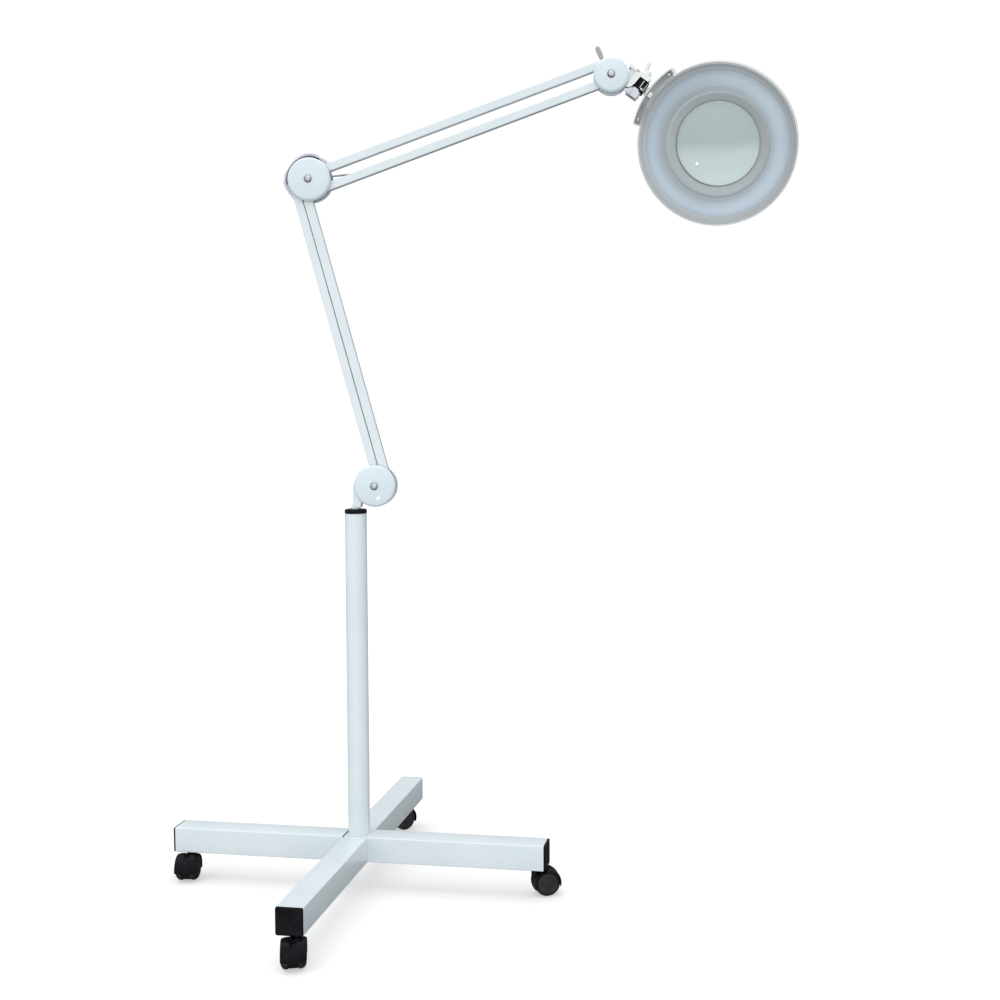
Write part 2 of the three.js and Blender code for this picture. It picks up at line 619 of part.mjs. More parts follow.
// A curved tray that hugs the housing's rim; the neck's spindle grows out of its back.
function headBracket() {
  const { inner, outer, wall, halfAngle, back, floor, front } = TRAY;
  const part = (r0, r1, a0, a1, z0, z1) =>
    extruded(sector(r0, r1, 180 + a0, 180 + a1), z1 - z0).translate([0, 0, z0]);
  const wallAngle = (wall / outer) * (180 / Math.PI);
  const base = part(inner, outer, -halfAngle, halfAngle, back, floor);
  const rim = part(outer - wall, outer, -halfAngle, halfAngle, floor - 1, front);
  const ends = [-halfAngle, halfAngle - wallAngle].map((from) =>
    part(inner, outer, from, from + wallAngle, floor - 1, front));
  const tab = block([-outer + wall - 1, -inner - 0.5], [-3, 3], [floor - 1, floor + 4.5]);
  const boss = bar(SPINDLE.boss, [-outer - 1.8, 0, 0], [-outer + 2, 0, 0], MEDIUM);
  const spindle = bar(SPINDLE.radius, [-headReach + SPINDLE.tip, 0, 0], [-outer + 1, 0, 0], MEDIUM);
  const bores = SCREW_ANGLES.map((degrees) => screwBar(SCREW.hole, degrees, [back - 1, floor + 1]));
  return cut(join(base, rim, ...ends, tab, boss, spindle), ...bores);
}

const SCREW = { reach: 122.4, angle: 18.4, radius: 1.6, hole: 1.95 };
const SCREW_ANGLES = [180 - SCREW.angle, 180 + SCREW.angle];

function screwBar(radius, degrees, [z0, z1], sides = 12) {
  const [x, y] = [SCREW.reach * Math.cos(rad(degrees)), SCREW.reach * Math.sin(rad(degrees))];
  return bar(radius, [x, y, z0], [x, y, z1], sides);
}

function bracketScrew(degrees) {
  const seat = TRAY.floor + GAP;
  return join(screwBar(SCREW.radius, degrees, [TRAY.back + 1, seat + 1]),
    screwBar(3, degrees, [seat, seat + 2], COARSE));
}

function buildHead() {
  piece(head, 'head_housing', headHousing(), WHITE_PLASTIC);
  piece(head, 'head_bezel', headBezel(), GREY_PLASTIC);
  piece(head, 'diffuser', diffuser(), DIFFUSER);
  piece(head, 'inner_collar', innerCollar(), GREY_PLASTIC);
  piece(head, 'led_board', ledBoard(), CIRCUIT);
  piece(head, 'lens', lens(), GLASS);
  piece(head, 'head_bracket', headBracket(), WHITE_PLASTIC);
  piece(head, 'bracket_screw_upper', bracketScrew(SCREW_ANGLES[0]), STEEL);
  piece(head, 'bracket_screw_lower', bracketScrew(SCREW_ANGLES[1]), STEEL);

  const { x, length, width, tilt } = SWITCH;
  const rocker = block([-width / 2, width / 2], [-length / 2, length / 2], [-4.2, 0]);
  piece(head, 'power_switch', rocker, NYLON, { position: [x, 0, HEAD.back + 1.4], turn: [tilt, 0, 0] });
}

buildCross();
buildCasters();
buildPost();
buildLowerArm();
buildUpperArm();
buildEndJoint();
buildNeck();
buildHead();

export default lamp;
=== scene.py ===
"""Looks for a floor-standing magnifying lamp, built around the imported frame."""
import json
import math

import bmesh
import bpy
from mathutils import Matrix, Vector


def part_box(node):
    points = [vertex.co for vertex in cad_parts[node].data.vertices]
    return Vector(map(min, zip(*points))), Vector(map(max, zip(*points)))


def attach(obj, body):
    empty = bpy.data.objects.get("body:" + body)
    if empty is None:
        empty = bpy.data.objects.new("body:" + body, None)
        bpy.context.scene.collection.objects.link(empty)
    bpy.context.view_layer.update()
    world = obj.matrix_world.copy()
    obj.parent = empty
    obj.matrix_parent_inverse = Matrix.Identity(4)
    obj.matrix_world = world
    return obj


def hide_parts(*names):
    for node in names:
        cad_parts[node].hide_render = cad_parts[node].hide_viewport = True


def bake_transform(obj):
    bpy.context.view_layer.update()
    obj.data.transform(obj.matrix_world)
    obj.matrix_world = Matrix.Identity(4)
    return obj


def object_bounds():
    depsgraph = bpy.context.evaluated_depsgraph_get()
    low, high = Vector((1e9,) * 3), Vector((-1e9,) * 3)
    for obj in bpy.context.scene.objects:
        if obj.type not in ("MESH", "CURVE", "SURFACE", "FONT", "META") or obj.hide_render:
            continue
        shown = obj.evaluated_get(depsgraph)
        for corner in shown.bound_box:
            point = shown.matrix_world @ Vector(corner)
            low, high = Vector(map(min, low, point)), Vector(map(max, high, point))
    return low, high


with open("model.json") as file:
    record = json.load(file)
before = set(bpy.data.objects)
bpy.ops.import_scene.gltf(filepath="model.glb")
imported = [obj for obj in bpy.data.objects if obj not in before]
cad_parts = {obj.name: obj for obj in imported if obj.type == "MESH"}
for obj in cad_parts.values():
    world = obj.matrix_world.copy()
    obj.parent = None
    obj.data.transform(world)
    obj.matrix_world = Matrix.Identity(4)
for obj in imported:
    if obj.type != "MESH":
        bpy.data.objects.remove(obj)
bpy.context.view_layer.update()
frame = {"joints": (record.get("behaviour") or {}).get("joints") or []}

MM = 0.001
LEGS = ("right", "back", "left", "front")
ROUND = 96  # sides of the large rounds
SMALL = 40  # sides of the small rounds
SHARP = math.radians(32)
NEARLY_STRAIGHT = math.radians(172)

joints = {j["name"]: j for j in frame["joints"]}


def rad(degrees):
    return math.radians(degrees)


# ---------------------------------------------------------------- camera
CAMERA_AT = (0.61167, -1.83933, 0.69823)
CAMERA_DOWN, CAMERA_LEFT = 0.0620, 0.1451  # radians
CAMERA_LENS, CAMERA_FILM = 46.13, 36  # millimetres
CAMERA_SHIFT = (-0.0828, -0.0234)
CAMERA_FAR = 60

camera_data = bpy.data.cameras.new("camera")
camera_data.lens = CAMERA_LENS
camera_data.sensor_width = CAMERA_FILM
camera_data.shift_x, camera_data.shift_y = CAMERA_SHIFT
camera_data.clip_end = CAMERA_FAR
camera = bpy.data.objects.new("camera", camera_data)
camera.location = CAMERA_AT
camera.rotation_euler = (math.pi / 2 - CAMERA_DOWN, 0, CAMERA_LEFT)
bpy.context.scene.collection.objects.link(camera)
bpy.context.scene.camera = camera


# ---------------------------------------------------------------- places
def place(origin, x, y):
    """The matrix of a frame with that origin in metres, whose own units are millimetres."""
    x = Vector(x).normalized()
    y = Vector(y)
    y = (y - x * y.dot(x)).normalized()
    matrix = Matrix((x, y, x.cross(y))).transposed().to_4x4()
    matrix.translation = Vector(origin)
    return matrix @ Matrix.Scale(MM, 4)


def at(joint):
    return Vector(joints[joint]["pos_m"])


def axis(joint):
    return Vector(joints[joint]["axis"]).normalized()


UP = Vector((0, 0, 1))
FRONT = axis("lower_arm_swing")
REAR = -FRONT
OUT = REAR.cross(UP)
WORLD = Matrix.Scale(MM, 4)


def centre(node):
    low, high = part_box(node)
    return (low + high) / 2


def on_arm(point):
    """The point of the arm's middle plane nearest to a point, found through the arm's first pivot."""
    pivot = at("lower_arm_swing")
    return point - REAR * (point - pivot).dot(REAR)


BASE_AT = on_arm(centre("base_disc_front"))
ELBOW_AT = on_arm(centre("elbow_disc_front"))
END_AT = at("head_tilt")

ARM = {name: place(point, OUT, REAR) for name, point in
       (("base", BASE_AT), ("elbow", ELBOW_AT), ("end", END_AT))}

LOWER_ALONG = (at("elbow_level") - at("lower_arm_swing")).normalized()
UPPER_ALONG = (at("end_level") - at("upper_arm_swing")).normalized()
LOWER_OUTER = place(at("lower_arm_swing"), LOWER_ALONG, REAR)
LOWER_INNER = place(at("lower_tie_swing"), LOWER_ALONG, REAR)
UPPER_TOP = place(at("upper_arm_swing"), UPPER_ALONG, REAR)
UPPER_BOTTOM = place(at("upper_tie_swing"), UPPER_ALONG, REAR)

SWING = axis("head_swing")
NECK_ALONG = REAR.cross(SWING).normalized()
NECK = place(END_AT, NECK_ALONG, REAR)
ROLL = axis("head_roll")
SWIVEL = place(at("head_swing"), ROLL, SWING.cross(ROLL))
HEAD_ROLLED = rad(20)
HEAD_REAR = SWING.cross(ROLL) * math.cos(HEAD_ROLLED) + SWING * math.sin(HEAD_ROLLED)
HEAD = place(at("head_roll"), ROLL, HEAD_REAR.cross(ROLL) * -1)
HEAD_REACH = (at("head_roll") - at("head_swing")).length / MM

CASTERS = {leg: place(at(f"caster_swivel_{leg}"), axis(f"wheel_roll_{leg}").cross(UP),
                      axis(f"wheel_roll_{leg}")) for leg in LEGS}
BEAMS = {leg: place((0, 0, 0), at(f"caster_swivel_{leg}"), UP.cross(at(f"caster_swivel_{leg}")))
         for leg in LEGS}


# ---------------------------------------------------------------- materials
def feed(tree, socket, value):
    """Sets an input: to a value, or to the socket that feeds it."""
    if isinstance(value, bpy.types.NodeSocket):
        tree.links.new(value, socket)
    else:
        socket.default_value = value


def node(tree, kind, *values, operation=None, **inputs):
    """A new node, with its first inputs given in order and others by name, with _ for a space."""
    new = tree.nodes.new("ShaderNode" + kind)
    if operation:
        new.operation = operation
    for socket, value in zip(new.inputs, values):
        feed(tree, socket, value)
    for name, value in inputs.items():
        feed(tree, new.inputs[name.replace("_", " ")], value)
    return new


def ramp(tree, factor, stops):
    """The colour that a factor picks from (position, colour) stops."""
    new = node(tree, "ValToRGB", factor)
    while len(new.color_ramp.elements) < len(stops):
        new.color_ramp.elements.new(0.5)
    for element, (position, colour) in zip(new.color_ramp.elements, stops):
        element.position = position
        element.color = (*colour, 1)
    return new.outputs["Color"]


def where_on_object(tree):
    return node(tree, "TexCoord").outputs["Object"]


def noise(tree, scale, detail):
    return node(tree, "TexNoise", Vector=where_on_object(tree), Scale=scale, Detail=detail,
                Roughness=0.5).outputs["Fac"]


def new_material(name, **fixed):
    """A material, its node tree and its shader with some inputs set."""
    material = bpy.data.materials.new(name)
    material.use_nodes = True
    tree = material.node_tree
    shader = tree.nodes["Principled BSDF"]
    for socket, value in fixed.items():
        shader.inputs[socket.replace("_", " ")].default_value = value
    return material, tree, shader.inputs


def surface(name, dark, light, roughness, patch=18, grain=900, relief=0.02, **fixed):
    """A material whose colour drifts between two shades, with uneven gloss and a fine grain.

    patch and grain are noise scales per metre, and relief is the grain's height in millimetres.
    """
    material, tree, shader = new_material(name, **fixed)
    feed(tree, shader["Base Color"], ramp(tree, noise(tree, patch, 4), [(0.3, dark), (0.7, light)]))
    gloss = node(tree, "MapRange", noise(tree, patch * 4, 3), To_Min=roughness[0], To_Max=roughness[1])
    feed(tree, shader["Roughness"], gloss.outputs["Result"])
    bump = node(tree, "Bump", Strength=1, Distance=relief * MM, Height=noise(tree, grain, 2))
    feed(tree, shader["Normal"], bump.outputs["Normal"])
    return material


HEAD_AT = at("head_roll")
ACROSS_HEAD = Vector((0.6, 0, -0.8))
SHADED = 0.11  # how far from the head's centre its shade still changes


def ringed(name, rings, painted_shades, roughness, shift=(0, 0, 0), **options):
    """A surface whose colour changes outward from the head's centre, with painted shade across the head.

    rings are (radius in millimetres, colour) stops that paint the shade of the head's front with its
    colour, the painted shade factors run from upper left to lower right, and shift moves the rings' centre,
    in millimetres.
    """
    material = surface(name, (0.97, 0.97, 0.97), (1, 1, 1), roughness, **options)
    tree = material.node_tree
    base = tree.nodes["Principled BSDF"].inputs["Base Color"]
    patches = base.links[0].from_socket

    def vector(operation, *values):
        return node(tree, "VectorMath", *values, operation=operation).outputs

    def spread(value, low, high, stops):
        scale = node(tree, "MapRange", value, From_Min=low, From_Max=high)
        return ramp(tree, scale.outputs["Result"], stops)

    middle = HEAD_AT + Vector(shift) * MM
    offset = vector("SUBTRACT", where_on_object(tree), middle)["Vector"]
    radius = vector("LENGTH", offset)["Value"]
    side = vector("DOT_PRODUCT", offset, ACROSS_HEAD)["Value"]
    low, high = rings[0][0], rings[-1][0]
    around = spread(radius, low * MM, high * MM, [((r - low) / (high - low), c) for r, c in rings])
    # painted shade: lighter and darker sides across the head
    shade = spread(side, -SHADED, SHADED, [(k / (len(painted_shades) - 1), (f, f, f)) for k, f in enumerate(painted_shades)])
    shaded = vector("MULTIPLY", around, shade)["Vector"]
    feed(tree, base, vector("MULTIPLY", shaded, patches)["Vector"])
    return material


PAINT = surface("white_powder_coat", (0.68, 0.77, 0.82), (0.73, 0.81, 0.85), (0.24, 0.36),
                grain=520, relief=0.012, Coat_Weight=0.3, Coat_Roughness=0.12)
# Painted light: the same white powder coat as the base, made lighter for the brighter light on the arm.
LIT_ARM_PAINT = surface("white_powder_coat_painted_lighter", (0.735, 0.83, 0.88), (0.79, 0.87, 0.915), (0.24, 0.36),
                    grain=520, relief=0.012, Coat_Weight=0.3, Coat_Roughness=0.12)
COVER = surface("white_gloss_plastic", (0.69, 0.81, 0.87), (0.73, 0.845, 0.90), (0.08, 0.15),
                grain=260, relief=0.004, Coat_Weight=0.6, Coat_Roughness=0.04)
GLOSS = surface("bright_white_plastic", (0.82, 0.87, 0.87), (0.87, 0.9, 0.9), (0.1, 0.2),
                grain=400, relief=0.004, Coat_Weight=0.5, Coat_Roughness=0.05)
SHELL = surface("white_head_plastic", (0.72, 0.765, 0.78), (0.78, 0.815, 0.825), (0.28, 0.4),
                grain=1400, relief=0.01)
GREY = surface("grey_moulding", (0.36, 0.375, 0.41), (0.43, 0.445, 0.48), (0.35, 0.5),
               patch=30, grain=1600, relief=0.02)
# Painted shade: grey for the sheets laid over the recessed tray floor and over the head's rim beside the
# tray.
SHADE_GREY = surface("grey_painted_shade", (0.35, 0.38, 0.39), (0.48, 0.52, 0.52), (0.5, 0.65),
                    patch=60, grain=1500, relief=0.03)
NYLON = surface("black_nylon", (0.003, 0.003, 0.005), (0.009, 0.009, 0.012), (0.2, 0.34),
                patch=60, grain=2200, relief=0.02, Specular_IOR_Level=0.09)
TREAD = surface("black_wheel_nylon", (0.007, 0.007, 0.009), (0.02, 0.019, 0.022), (0.3, 0.5),
                patch=80, grain=1500, relief=0.03, Specular_IOR_Level=0.3)
STEEL = surface("zinc_plated_steel", (0.5, 0.52, 0.54), (0.66, 0.68, 0.7), (0.1, 0.2),
                patch=220, grain=2500, relief=0.006, Metallic=1.0)
# Painted shade: near-black steel for the rings under the bolt heads that paint their dark crescents.
SHADE_RING_STEEL = surface("near_black_steel_painted_shade", (0.03, 0.035, 0.045), (0.09, 0.1, 0.115), (0.2, 0.35),
                     patch=420, grain=2500, relief=0.006, Metallic=1.0)
SPRING_STEEL = surface("spring_steel", (0.30, 0.31, 0.33), (0.42, 0.44, 0.46), (0.4, 0.55),
                       patch=300, grain=3000, relief=0.01, Metallic=0.7)
# The cable's colour, also used as painted shade on the white plastic block under the neck's lower jaw.
SHEATH = surface("white_cable_sheath", (0.66, 0.67, 0.78), (0.72, 0.73, 0.83), (0.3, 0.42),
                 patch=90, grain=1800, relief=0.015)
# Painted shade: the diffuser darkens next to the cone and next to the rim and towards the upper left, and
# its rings' centre is shifted left to widen the shade there.
FROST = ringed("frosted_diffuser", [(76, (0.42, 0.475, 0.51)), (81, (0.445, 0.51, 0.56)),
                                    (89, (0.53, 0.64, 0.73)), (96, (0.57, 0.68, 0.78)),
                                    (104, (0.53, 0.625, 0.71)), (113, (0.47, 0.53, 0.575))],
               (0.82, 0.98, 1.03, 1.0, 1.1), (0.42, 0.55), shift=(-3.4, 0, -1),
               patch=26, grain=1900, relief=0.02)
# Painted shade: the front ring is white plastic coloured grey for its shade, and lighter towards the upper
# left.
RING_SHADE = ringed("front_ring_painted_shade", [(104, (0.46, 0.525, 0.57)), (107, (0.47, 0.52, 0.555)),
                                       (112, (0.46, 0.495, 0.515)), (114, (0.50, 0.53, 0.55)),
                                       (116, (0.62, 0.65, 0.67))],
                   (1.12, 1.16, 1.04, 0.98, 0.95), (0.3, 0.45), patch=40, grain=1600, relief=0.015)
# Painted shade: the cone is white plastic coloured grey for its shade, with a near-black ring at the lens
# edge for the shadow gap there, and lighter towards the upper left.
CONE_SHADE = ringed("lens_cone_painted_shade", [(61.8, (0.05, 0.055, 0.055)), (62.4, (0.36, 0.40, 0.405)),
                                      (65, (0.46, 0.505, 0.51)), (70, (0.455, 0.505, 0.52)),
                                      (77, (0.42, 0.475, 0.51))],
                   (1.12, 1.12, 1.0, 0.97, 1.04), (0.35, 0.5), patch=40, grain=1600, relief=0.015)
BOARD = surface("white_circuit_board", (0.8, 0.8, 0.77), (0.86, 0.86, 0.82), (0.3, 0.45),
                patch=200, grain=2600, relief=0.02)


def lens_glass():
    """Clear glass with a faint green tint, and painted shade: darker in its upper half and lighter in its
    lower half, as the room seen upside down through the lens.
    """
    material, tree, shader = new_material("lens_glass", Roughness=0.02, IOR=1.5, Transmission_Weight=0.72)
    split = node(tree, "SeparateXYZ", where_on_object(tree))
    low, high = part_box("lens")
    height = node(tree, "MapRange", split.outputs["Z"], From_Min=low.z, From_Max=high.z)
    drift = node(tree, "Math", noise(tree, 22, 3), 0.12, height.outputs["Result"], operation="MULTIPLY_ADD")
    # painted shade: the ramp darkens the upper half, as the upside-down view through the lens
    feed(tree, shader["Base Color"], ramp(tree, drift.outputs["Value"], [
        (0.08, (0.72, 0.84, 0.85)), (0.44, (0.645, 0.745, 0.745)),
        (0.58, (0.49, 0.595, 0.58)), (1.0, (0.515, 0.615, 0.61))]))
    return material


LENS = lens_glass()

USUAL_SLOT = {material.name: slot for slot, *materials in (
    ("white_paint", PAINT, LIT_ARM_PAINT),
    ("white_plastic", COVER, GLOSS, SHELL),
    # painted shade: the front ring, the lens cone and the tray's grey sheets are grey for their shade; the
    # lever is grey plastic
    ("grey_plastic", GREY, SHADE_GREY, RING_SHADE, CONE_SHADE),
    ("black_plastic", NYLON, TREAD),
    ("steel", STEEL, SHADE_RING_STEEL, SPRING_STEEL),
    ("cable_white", SHEATH), ("diffuser", FROST), ("circuit", BOARD), ("lens_glass", LENS),
) for material in materials}


# ---------------------------------------------------------------- mesh making
def rounded(points, radius, steps=4):
    """A closed outline with its corners rounded; a corner may state its own radius as a third value."""
    out = []
    count = len(points)
    for i, point in enumerate(points):
        before, here, after = (Vector(points[(i + k) % count][:2]) for k in (-1, 0, 1))
        r = point[2] if len(point) > 2 else radius
        a, b = (before - here), (after - here)
        angle = a.angle(b, math.pi) if a.length and b.length else math.pi
        if r <= 0 or angle > NEARLY_STRAIGHT:
            out.append(tuple(here))
            continue
        reach = min(r / math.tan(angle / 2), 0.49 * a.length, 0.49 * b.length)
        r = reach * math.tan(angle / 2)
        middle = here + (a.normalized() + b.normalized()).normalized() * (r / math.sin(angle / 2))
        start = here + a.normalized() * reach - middle
        end = here + b.normalized() * reach - middle
        arc = start.angle_signed(end)
        for k in range(steps + 1):
            c, s = math.cos(-arc * k / steps), math.sin(-arc * k / steps)
            out.append((middle.x + start.x * c - start.y * s, middle.y + start.x * s + start.y * c))
    return out


def fix(bm):
    bmesh.ops.remove_doubles(bm, verts=bm.verts, dist=1e-5)
    bmesh.ops.recalc_face_normals(bm, faces=bm.faces)
    if bm.calc_volume(signed=True) < 0:
        bmesh.ops.reverse_faces(bm, faces=bm.faces)
    return bm


def lathe(profile, sides=ROUND):
    """A closed [radius, z] outline turned about z; it may start and end on the axis."""
    bm = bmesh.new()
    rings = []
    for r, z in profile:
        if r < 1e-6:
            rings.append([bm.verts.new((0, 0, z))] * sides)
        else:
            rings.append([bm.verts.new((r * math.cos(2 * math.pi * k / sides),
                                        r * math.sin(2 * math.pi * k / sides), z)) for k in range(sides)])
    for i in range(len(rings)):
        a, b = rings[i], rings[(i + 1) % len(rings)]
        for k in range(sides):
            face = []
            for v in (a[k], a[(k + 1) % sides], b[(k + 1) % sides], b[k]):
                if v not in face:
                    face.append(v)
            if len(face) > 2:
                bm.faces.new(face)
    return fix(bm)


def prism(outline, z0, z1, hole=None):
    """A flat outline pushed from z0 to z1, with an optional hole that has as many points."""
    bm = bmesh.new()
    loops = [[bm.verts.new((*p, z)) for p in ring] for ring in (outline, hole) if ring for z in (z0, z1)]
    count = len(outline)
    pairs = [(0, 1), (2, 3), (0, 2), (1, 3)] if hole else [(0, 1)]
    for a, b in pairs:
        for k in range(count):
            m = (k + 1) % count
            bm.faces.new((loops[a][k], loops[a][m], loops[b][m], loops[b][k]))
    if not hole:
        bm.faces.new(loops[0])
        bm.faces.new(loops[1])
    return fix(bm)


def skin(bm, rings):
    """Faces between successive rings of vertices, and a face across each end."""
    count = len(rings[0])
    for a, b in zip(rings, rings[1:]):
        for k in range(count):
            m = (k + 1) % count
            bm.faces.new((a[k], a[m], b[m], b[k]))
    bm.faces.new(rings[0])
    bm.faces.new(rings[-1])
    return fix(bm)


def box(x, y, z):
    return prism([(x[0], y[0]), (x[1], y[0]), (x[1], y[1]), (x[0], y[1])], *z)


def circle(radius, sides=SMALL, cx=0, cy=0, start=0, end=360, closed=True):
    count = sides if closed else sides - 1
    return [(cx + radius * math.cos(rad(start + (end - start) * k / count)),
             cy + radius * math.sin(rad(start + (end - start) * k / count))) for k in range(sides)]


def turn(bm, axis_name, degrees):
    bm.transform(Matrix.Rotation(rad(degrees), 4, axis_name))
    return bm


def move(bm, x=0, y=0, z=0):
    bm.transform(Matrix.Translation((x, y, z)))
    return bm


def rod(radius, length, edge=0.3, sides=SMALL):
    """A round bar from z = 0 to z = length with eased edges."""
    return lathe([(0, 0)] + rounded_open([(radius, 0), (radius, length)], edge) + [(0, length)], sides)


def rounded_open(points, radius, steps=3):
    """The two outer corners of a bar's half section, eased."""
    (r, z0), (_, z1) = points
    low = [(r - radius + radius * math.sin(rad(90 * k / steps)),
            z0 + radius - radius * math.cos(rad(90 * k / steps))) for k in range(steps + 1)]
    high = [(r - radius + radius * math.cos(rad(90 * k / steps)),
             z1 - radius + radius * math.sin(rad(90 * k / steps))) for k in range(steps + 1)]
    return low + high


def upright(radius, length, x=0, y=0, z=0, edge=0.05, sides=SMALL):
    """A round bar along z whose lower end is at that point."""
    return move(rod(radius, length, edge, sides), x, y, z)


def across(radius, y0, y1, x=0, z=0, edge=0.3, sides=SMALL):
    """A round bar along y from y0 to y1."""
    return move(turn(rod(radius, y1 - y0, edge, sides), "X", -90), x, y0, z)


def sweep(points, radius, sides=12, taper=None):
    """A round tube along points, with flat ends; taper gives a radius factor along its length."""
    bm = bmesh.new()
    path = [Vector(p) for p in points]
    tangent = (path[1] - path[0]).normalized()
    side = tangent.orthogonal().normalized()
    rings = []
    for i, point in enumerate(path):
        ahead = (path[min(i + 1, len(path) - 1)] - path[max(i - 1, 0)]).normalized()
        side = (side - ahead * side.dot(ahead)).normalized()
        other = ahead.cross(side)
        r = radius * (taper(i / (len(path) - 1)) if taper else 1)
        turns = [2 * math.pi * k / sides for k in range(sides)]
        rings.append([bm.verts.new(point + side * (r * math.cos(a)) + other * (r * math.sin(a)))
                      for a in turns])
    return skin(bm, rings)


def smooth_path(points, steps=8):
    """A Catmull-Rom curve through points, as a list."""
    path = [Vector(p) for p in points]
    path = [path[0] * 2 - path[1], *path, path[-1] * 2 - path[-2]]
    out = []
    for i in range(1, len(path) - 2):
        a, b, c, d = path[i - 1:i + 3]
        for k in range(steps):
            t = k / steps
            out.append(0.5 * (2 * b + (c - a) * t + (2 * a - 5 * b + 4 * c - d) * t * t
                              + (3 * b - a - 3 * c + d) * t ** 3))
    return out + [path[-2]]


def together(*parts):
    """Several meshes as one, side by side."""
    whole = bmesh.new()
    for part in parts:
        mesh = bpy.data.meshes.new("part")
        part.to_mesh(mesh)
        whole.from_mesh(mesh)
        bpy.data.meshes.remove(mesh)
        part.free()
    return whole


def temporary(bm):
    """A mesh as an object of its own, for a modifier to work on."""
    mesh = bpy.data.meshes.new("temporary")
    bm.to_mesh(mesh)
    bm.free()
    item = bpy.data.objects.new("temporary", mesh)
    bpy.context.scene.collection.objects.link(item)
    return item


def applied(item, *tools):
    """A temporary object's mesh after its modifiers; the object and its tools are removed."""
    bpy.context.view_layer.update()
    evaluated = item.evaluated_get(bpy.context.evaluated_depsgraph_get())
    result = bmesh.new()
    result.from_mesh(evaluated.to_mesh())
    evaluated.to_mesh_clear()
    for each in (item, *tools):
        mesh = each.data
        bpy.data.objects.remove(each)
        bpy.data.meshes.remove(mesh)
    return result


def cut(first, *others):
    """A closed mesh less the others."""
    base = temporary(first)
    tools = [temporary(bm) for bm in others]
    for tool in tools:
        modifier = base.modifiers.new("cut", "BOOLEAN")
        modifier.operation = "DIFFERENCE"
        modifier.solver = "EXACT"
        modifier.object = tool
    result = applied(base, *tools)
    bmesh.ops.dissolve_limit(result, angle_limit=rad(0.5), verts=result.verts, edges=result.edges)
    return result


def subdivided(bm, levels=2):
    """A mesh with its subdivision surface applied."""
    cage = temporary(bm)
    cage.modifiers.new("subdivide", "SUBSURF").levels = levels
    return applied(cage)


def piece(name, bm, where, body, material, nodes=(), bevel=0, segments=2, slot=None):
    """Turns a mesh in its own millimetre frame into a piece that rides on a body and replaces nodes."""
    bm.transform(where)
    mesh = bpy.data.meshes.new(name)
    bm.to_mesh(mesh)
    bm.free()
    item = bpy.data.objects.new(name, mesh)
    bpy.context.scene.collection.objects.link(item)
    for polygon in mesh.polygons:
        polygon.use_smooth = True
    mesh.set_sharp_from_angle(angle=SHARP)
    mesh.materials.append(material)
    if bevel:
        modifier = item.modifiers.new("bevel", "BEVEL")
        modifier.width = bevel * MM
        modifier.segments = segments
        modifier.limit_method = "ANGLE"
        modifier.angle_limit = SHARP
        modifier.harden_normals = True
        modifier.use_clamp_overlap = True
    if body:
        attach(item, body)
    slot = slot or USUAL_SLOT[material.name]
    if nodes:
        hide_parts(*nodes)
    return item


# ---------------------------------------------------------------- cross base
BEAM, BEAM_WALL, BEAM_CORNER, REACH = 38, 2, 1.7, 287
STEM_IN = 16
GAP = 0.3


def square(size, corner, steps=5):
    half = size / 2
    return rounded([(-half, -half), (half, -half), (half, half), (-half, half)], corner, steps)


def beam(x0, x1, holes):
    """A square tube along x that rests on z = 0."""
    tube = prism(square(BEAM, BEAM_CORNER), x0, x1, square(BEAM - 2 * BEAM_WALL, BEAM_CORNER - 1))
    turn(tube, "Y", 90)
    move(tube, z=BEAM / 2)
    drills = [upright(4.3, 8, x, 0, -3, sides=32) for x in holes]
    return cut(tube, *drills)


def end_cap():
    """A moulded plug: domed lip outside, ribs that grip inside."""
    half = BEAM / 2
    dome = bmesh.new()
    rings = []
    for inset, height in ((0, 1.2), (0.25, 2.1), (0.9, 2.75), (1.9, 3.0), (5, 3.0), (6, 2.6), (12, 2.55)):
        ring = square(BEAM - 2 * inset, max(2.6 - inset * 0.5, 1.0))
        rings.append([dome.verts.new((*p, height)) for p in ring])
    skin(dome, rings)
    plug = prism(square(BEAM - 2 * BEAM_WALL - 0.6, 1), -9, 0.4,
                 square(BEAM - 2 * BEAM_WALL - 4, 0.6))
    base = prism(square(BEAM, 2.6), 0, 1.3)
    ribs = [box((-half + 2.15, half - 2.15), (-1, 1), (-8 + 3 * k, -6.8 + 3 * k)) for k in range(2)]
    cap = together(base, dome, plug, *ribs)
    turn(cap, "Y", 90)
    return move(cap, REACH + GAP, 0, BEAM / 2)


def frame_band(x0, x1):
    """A thin square band that stands a little proud of a tube."""
    band = prism(square(BEAM + 0.1, BEAM_CORNER), x0, x1, square(BEAM - 2.6, 1.4))
    return move(turn(band, "Y", 90), z=BEAM / 2)


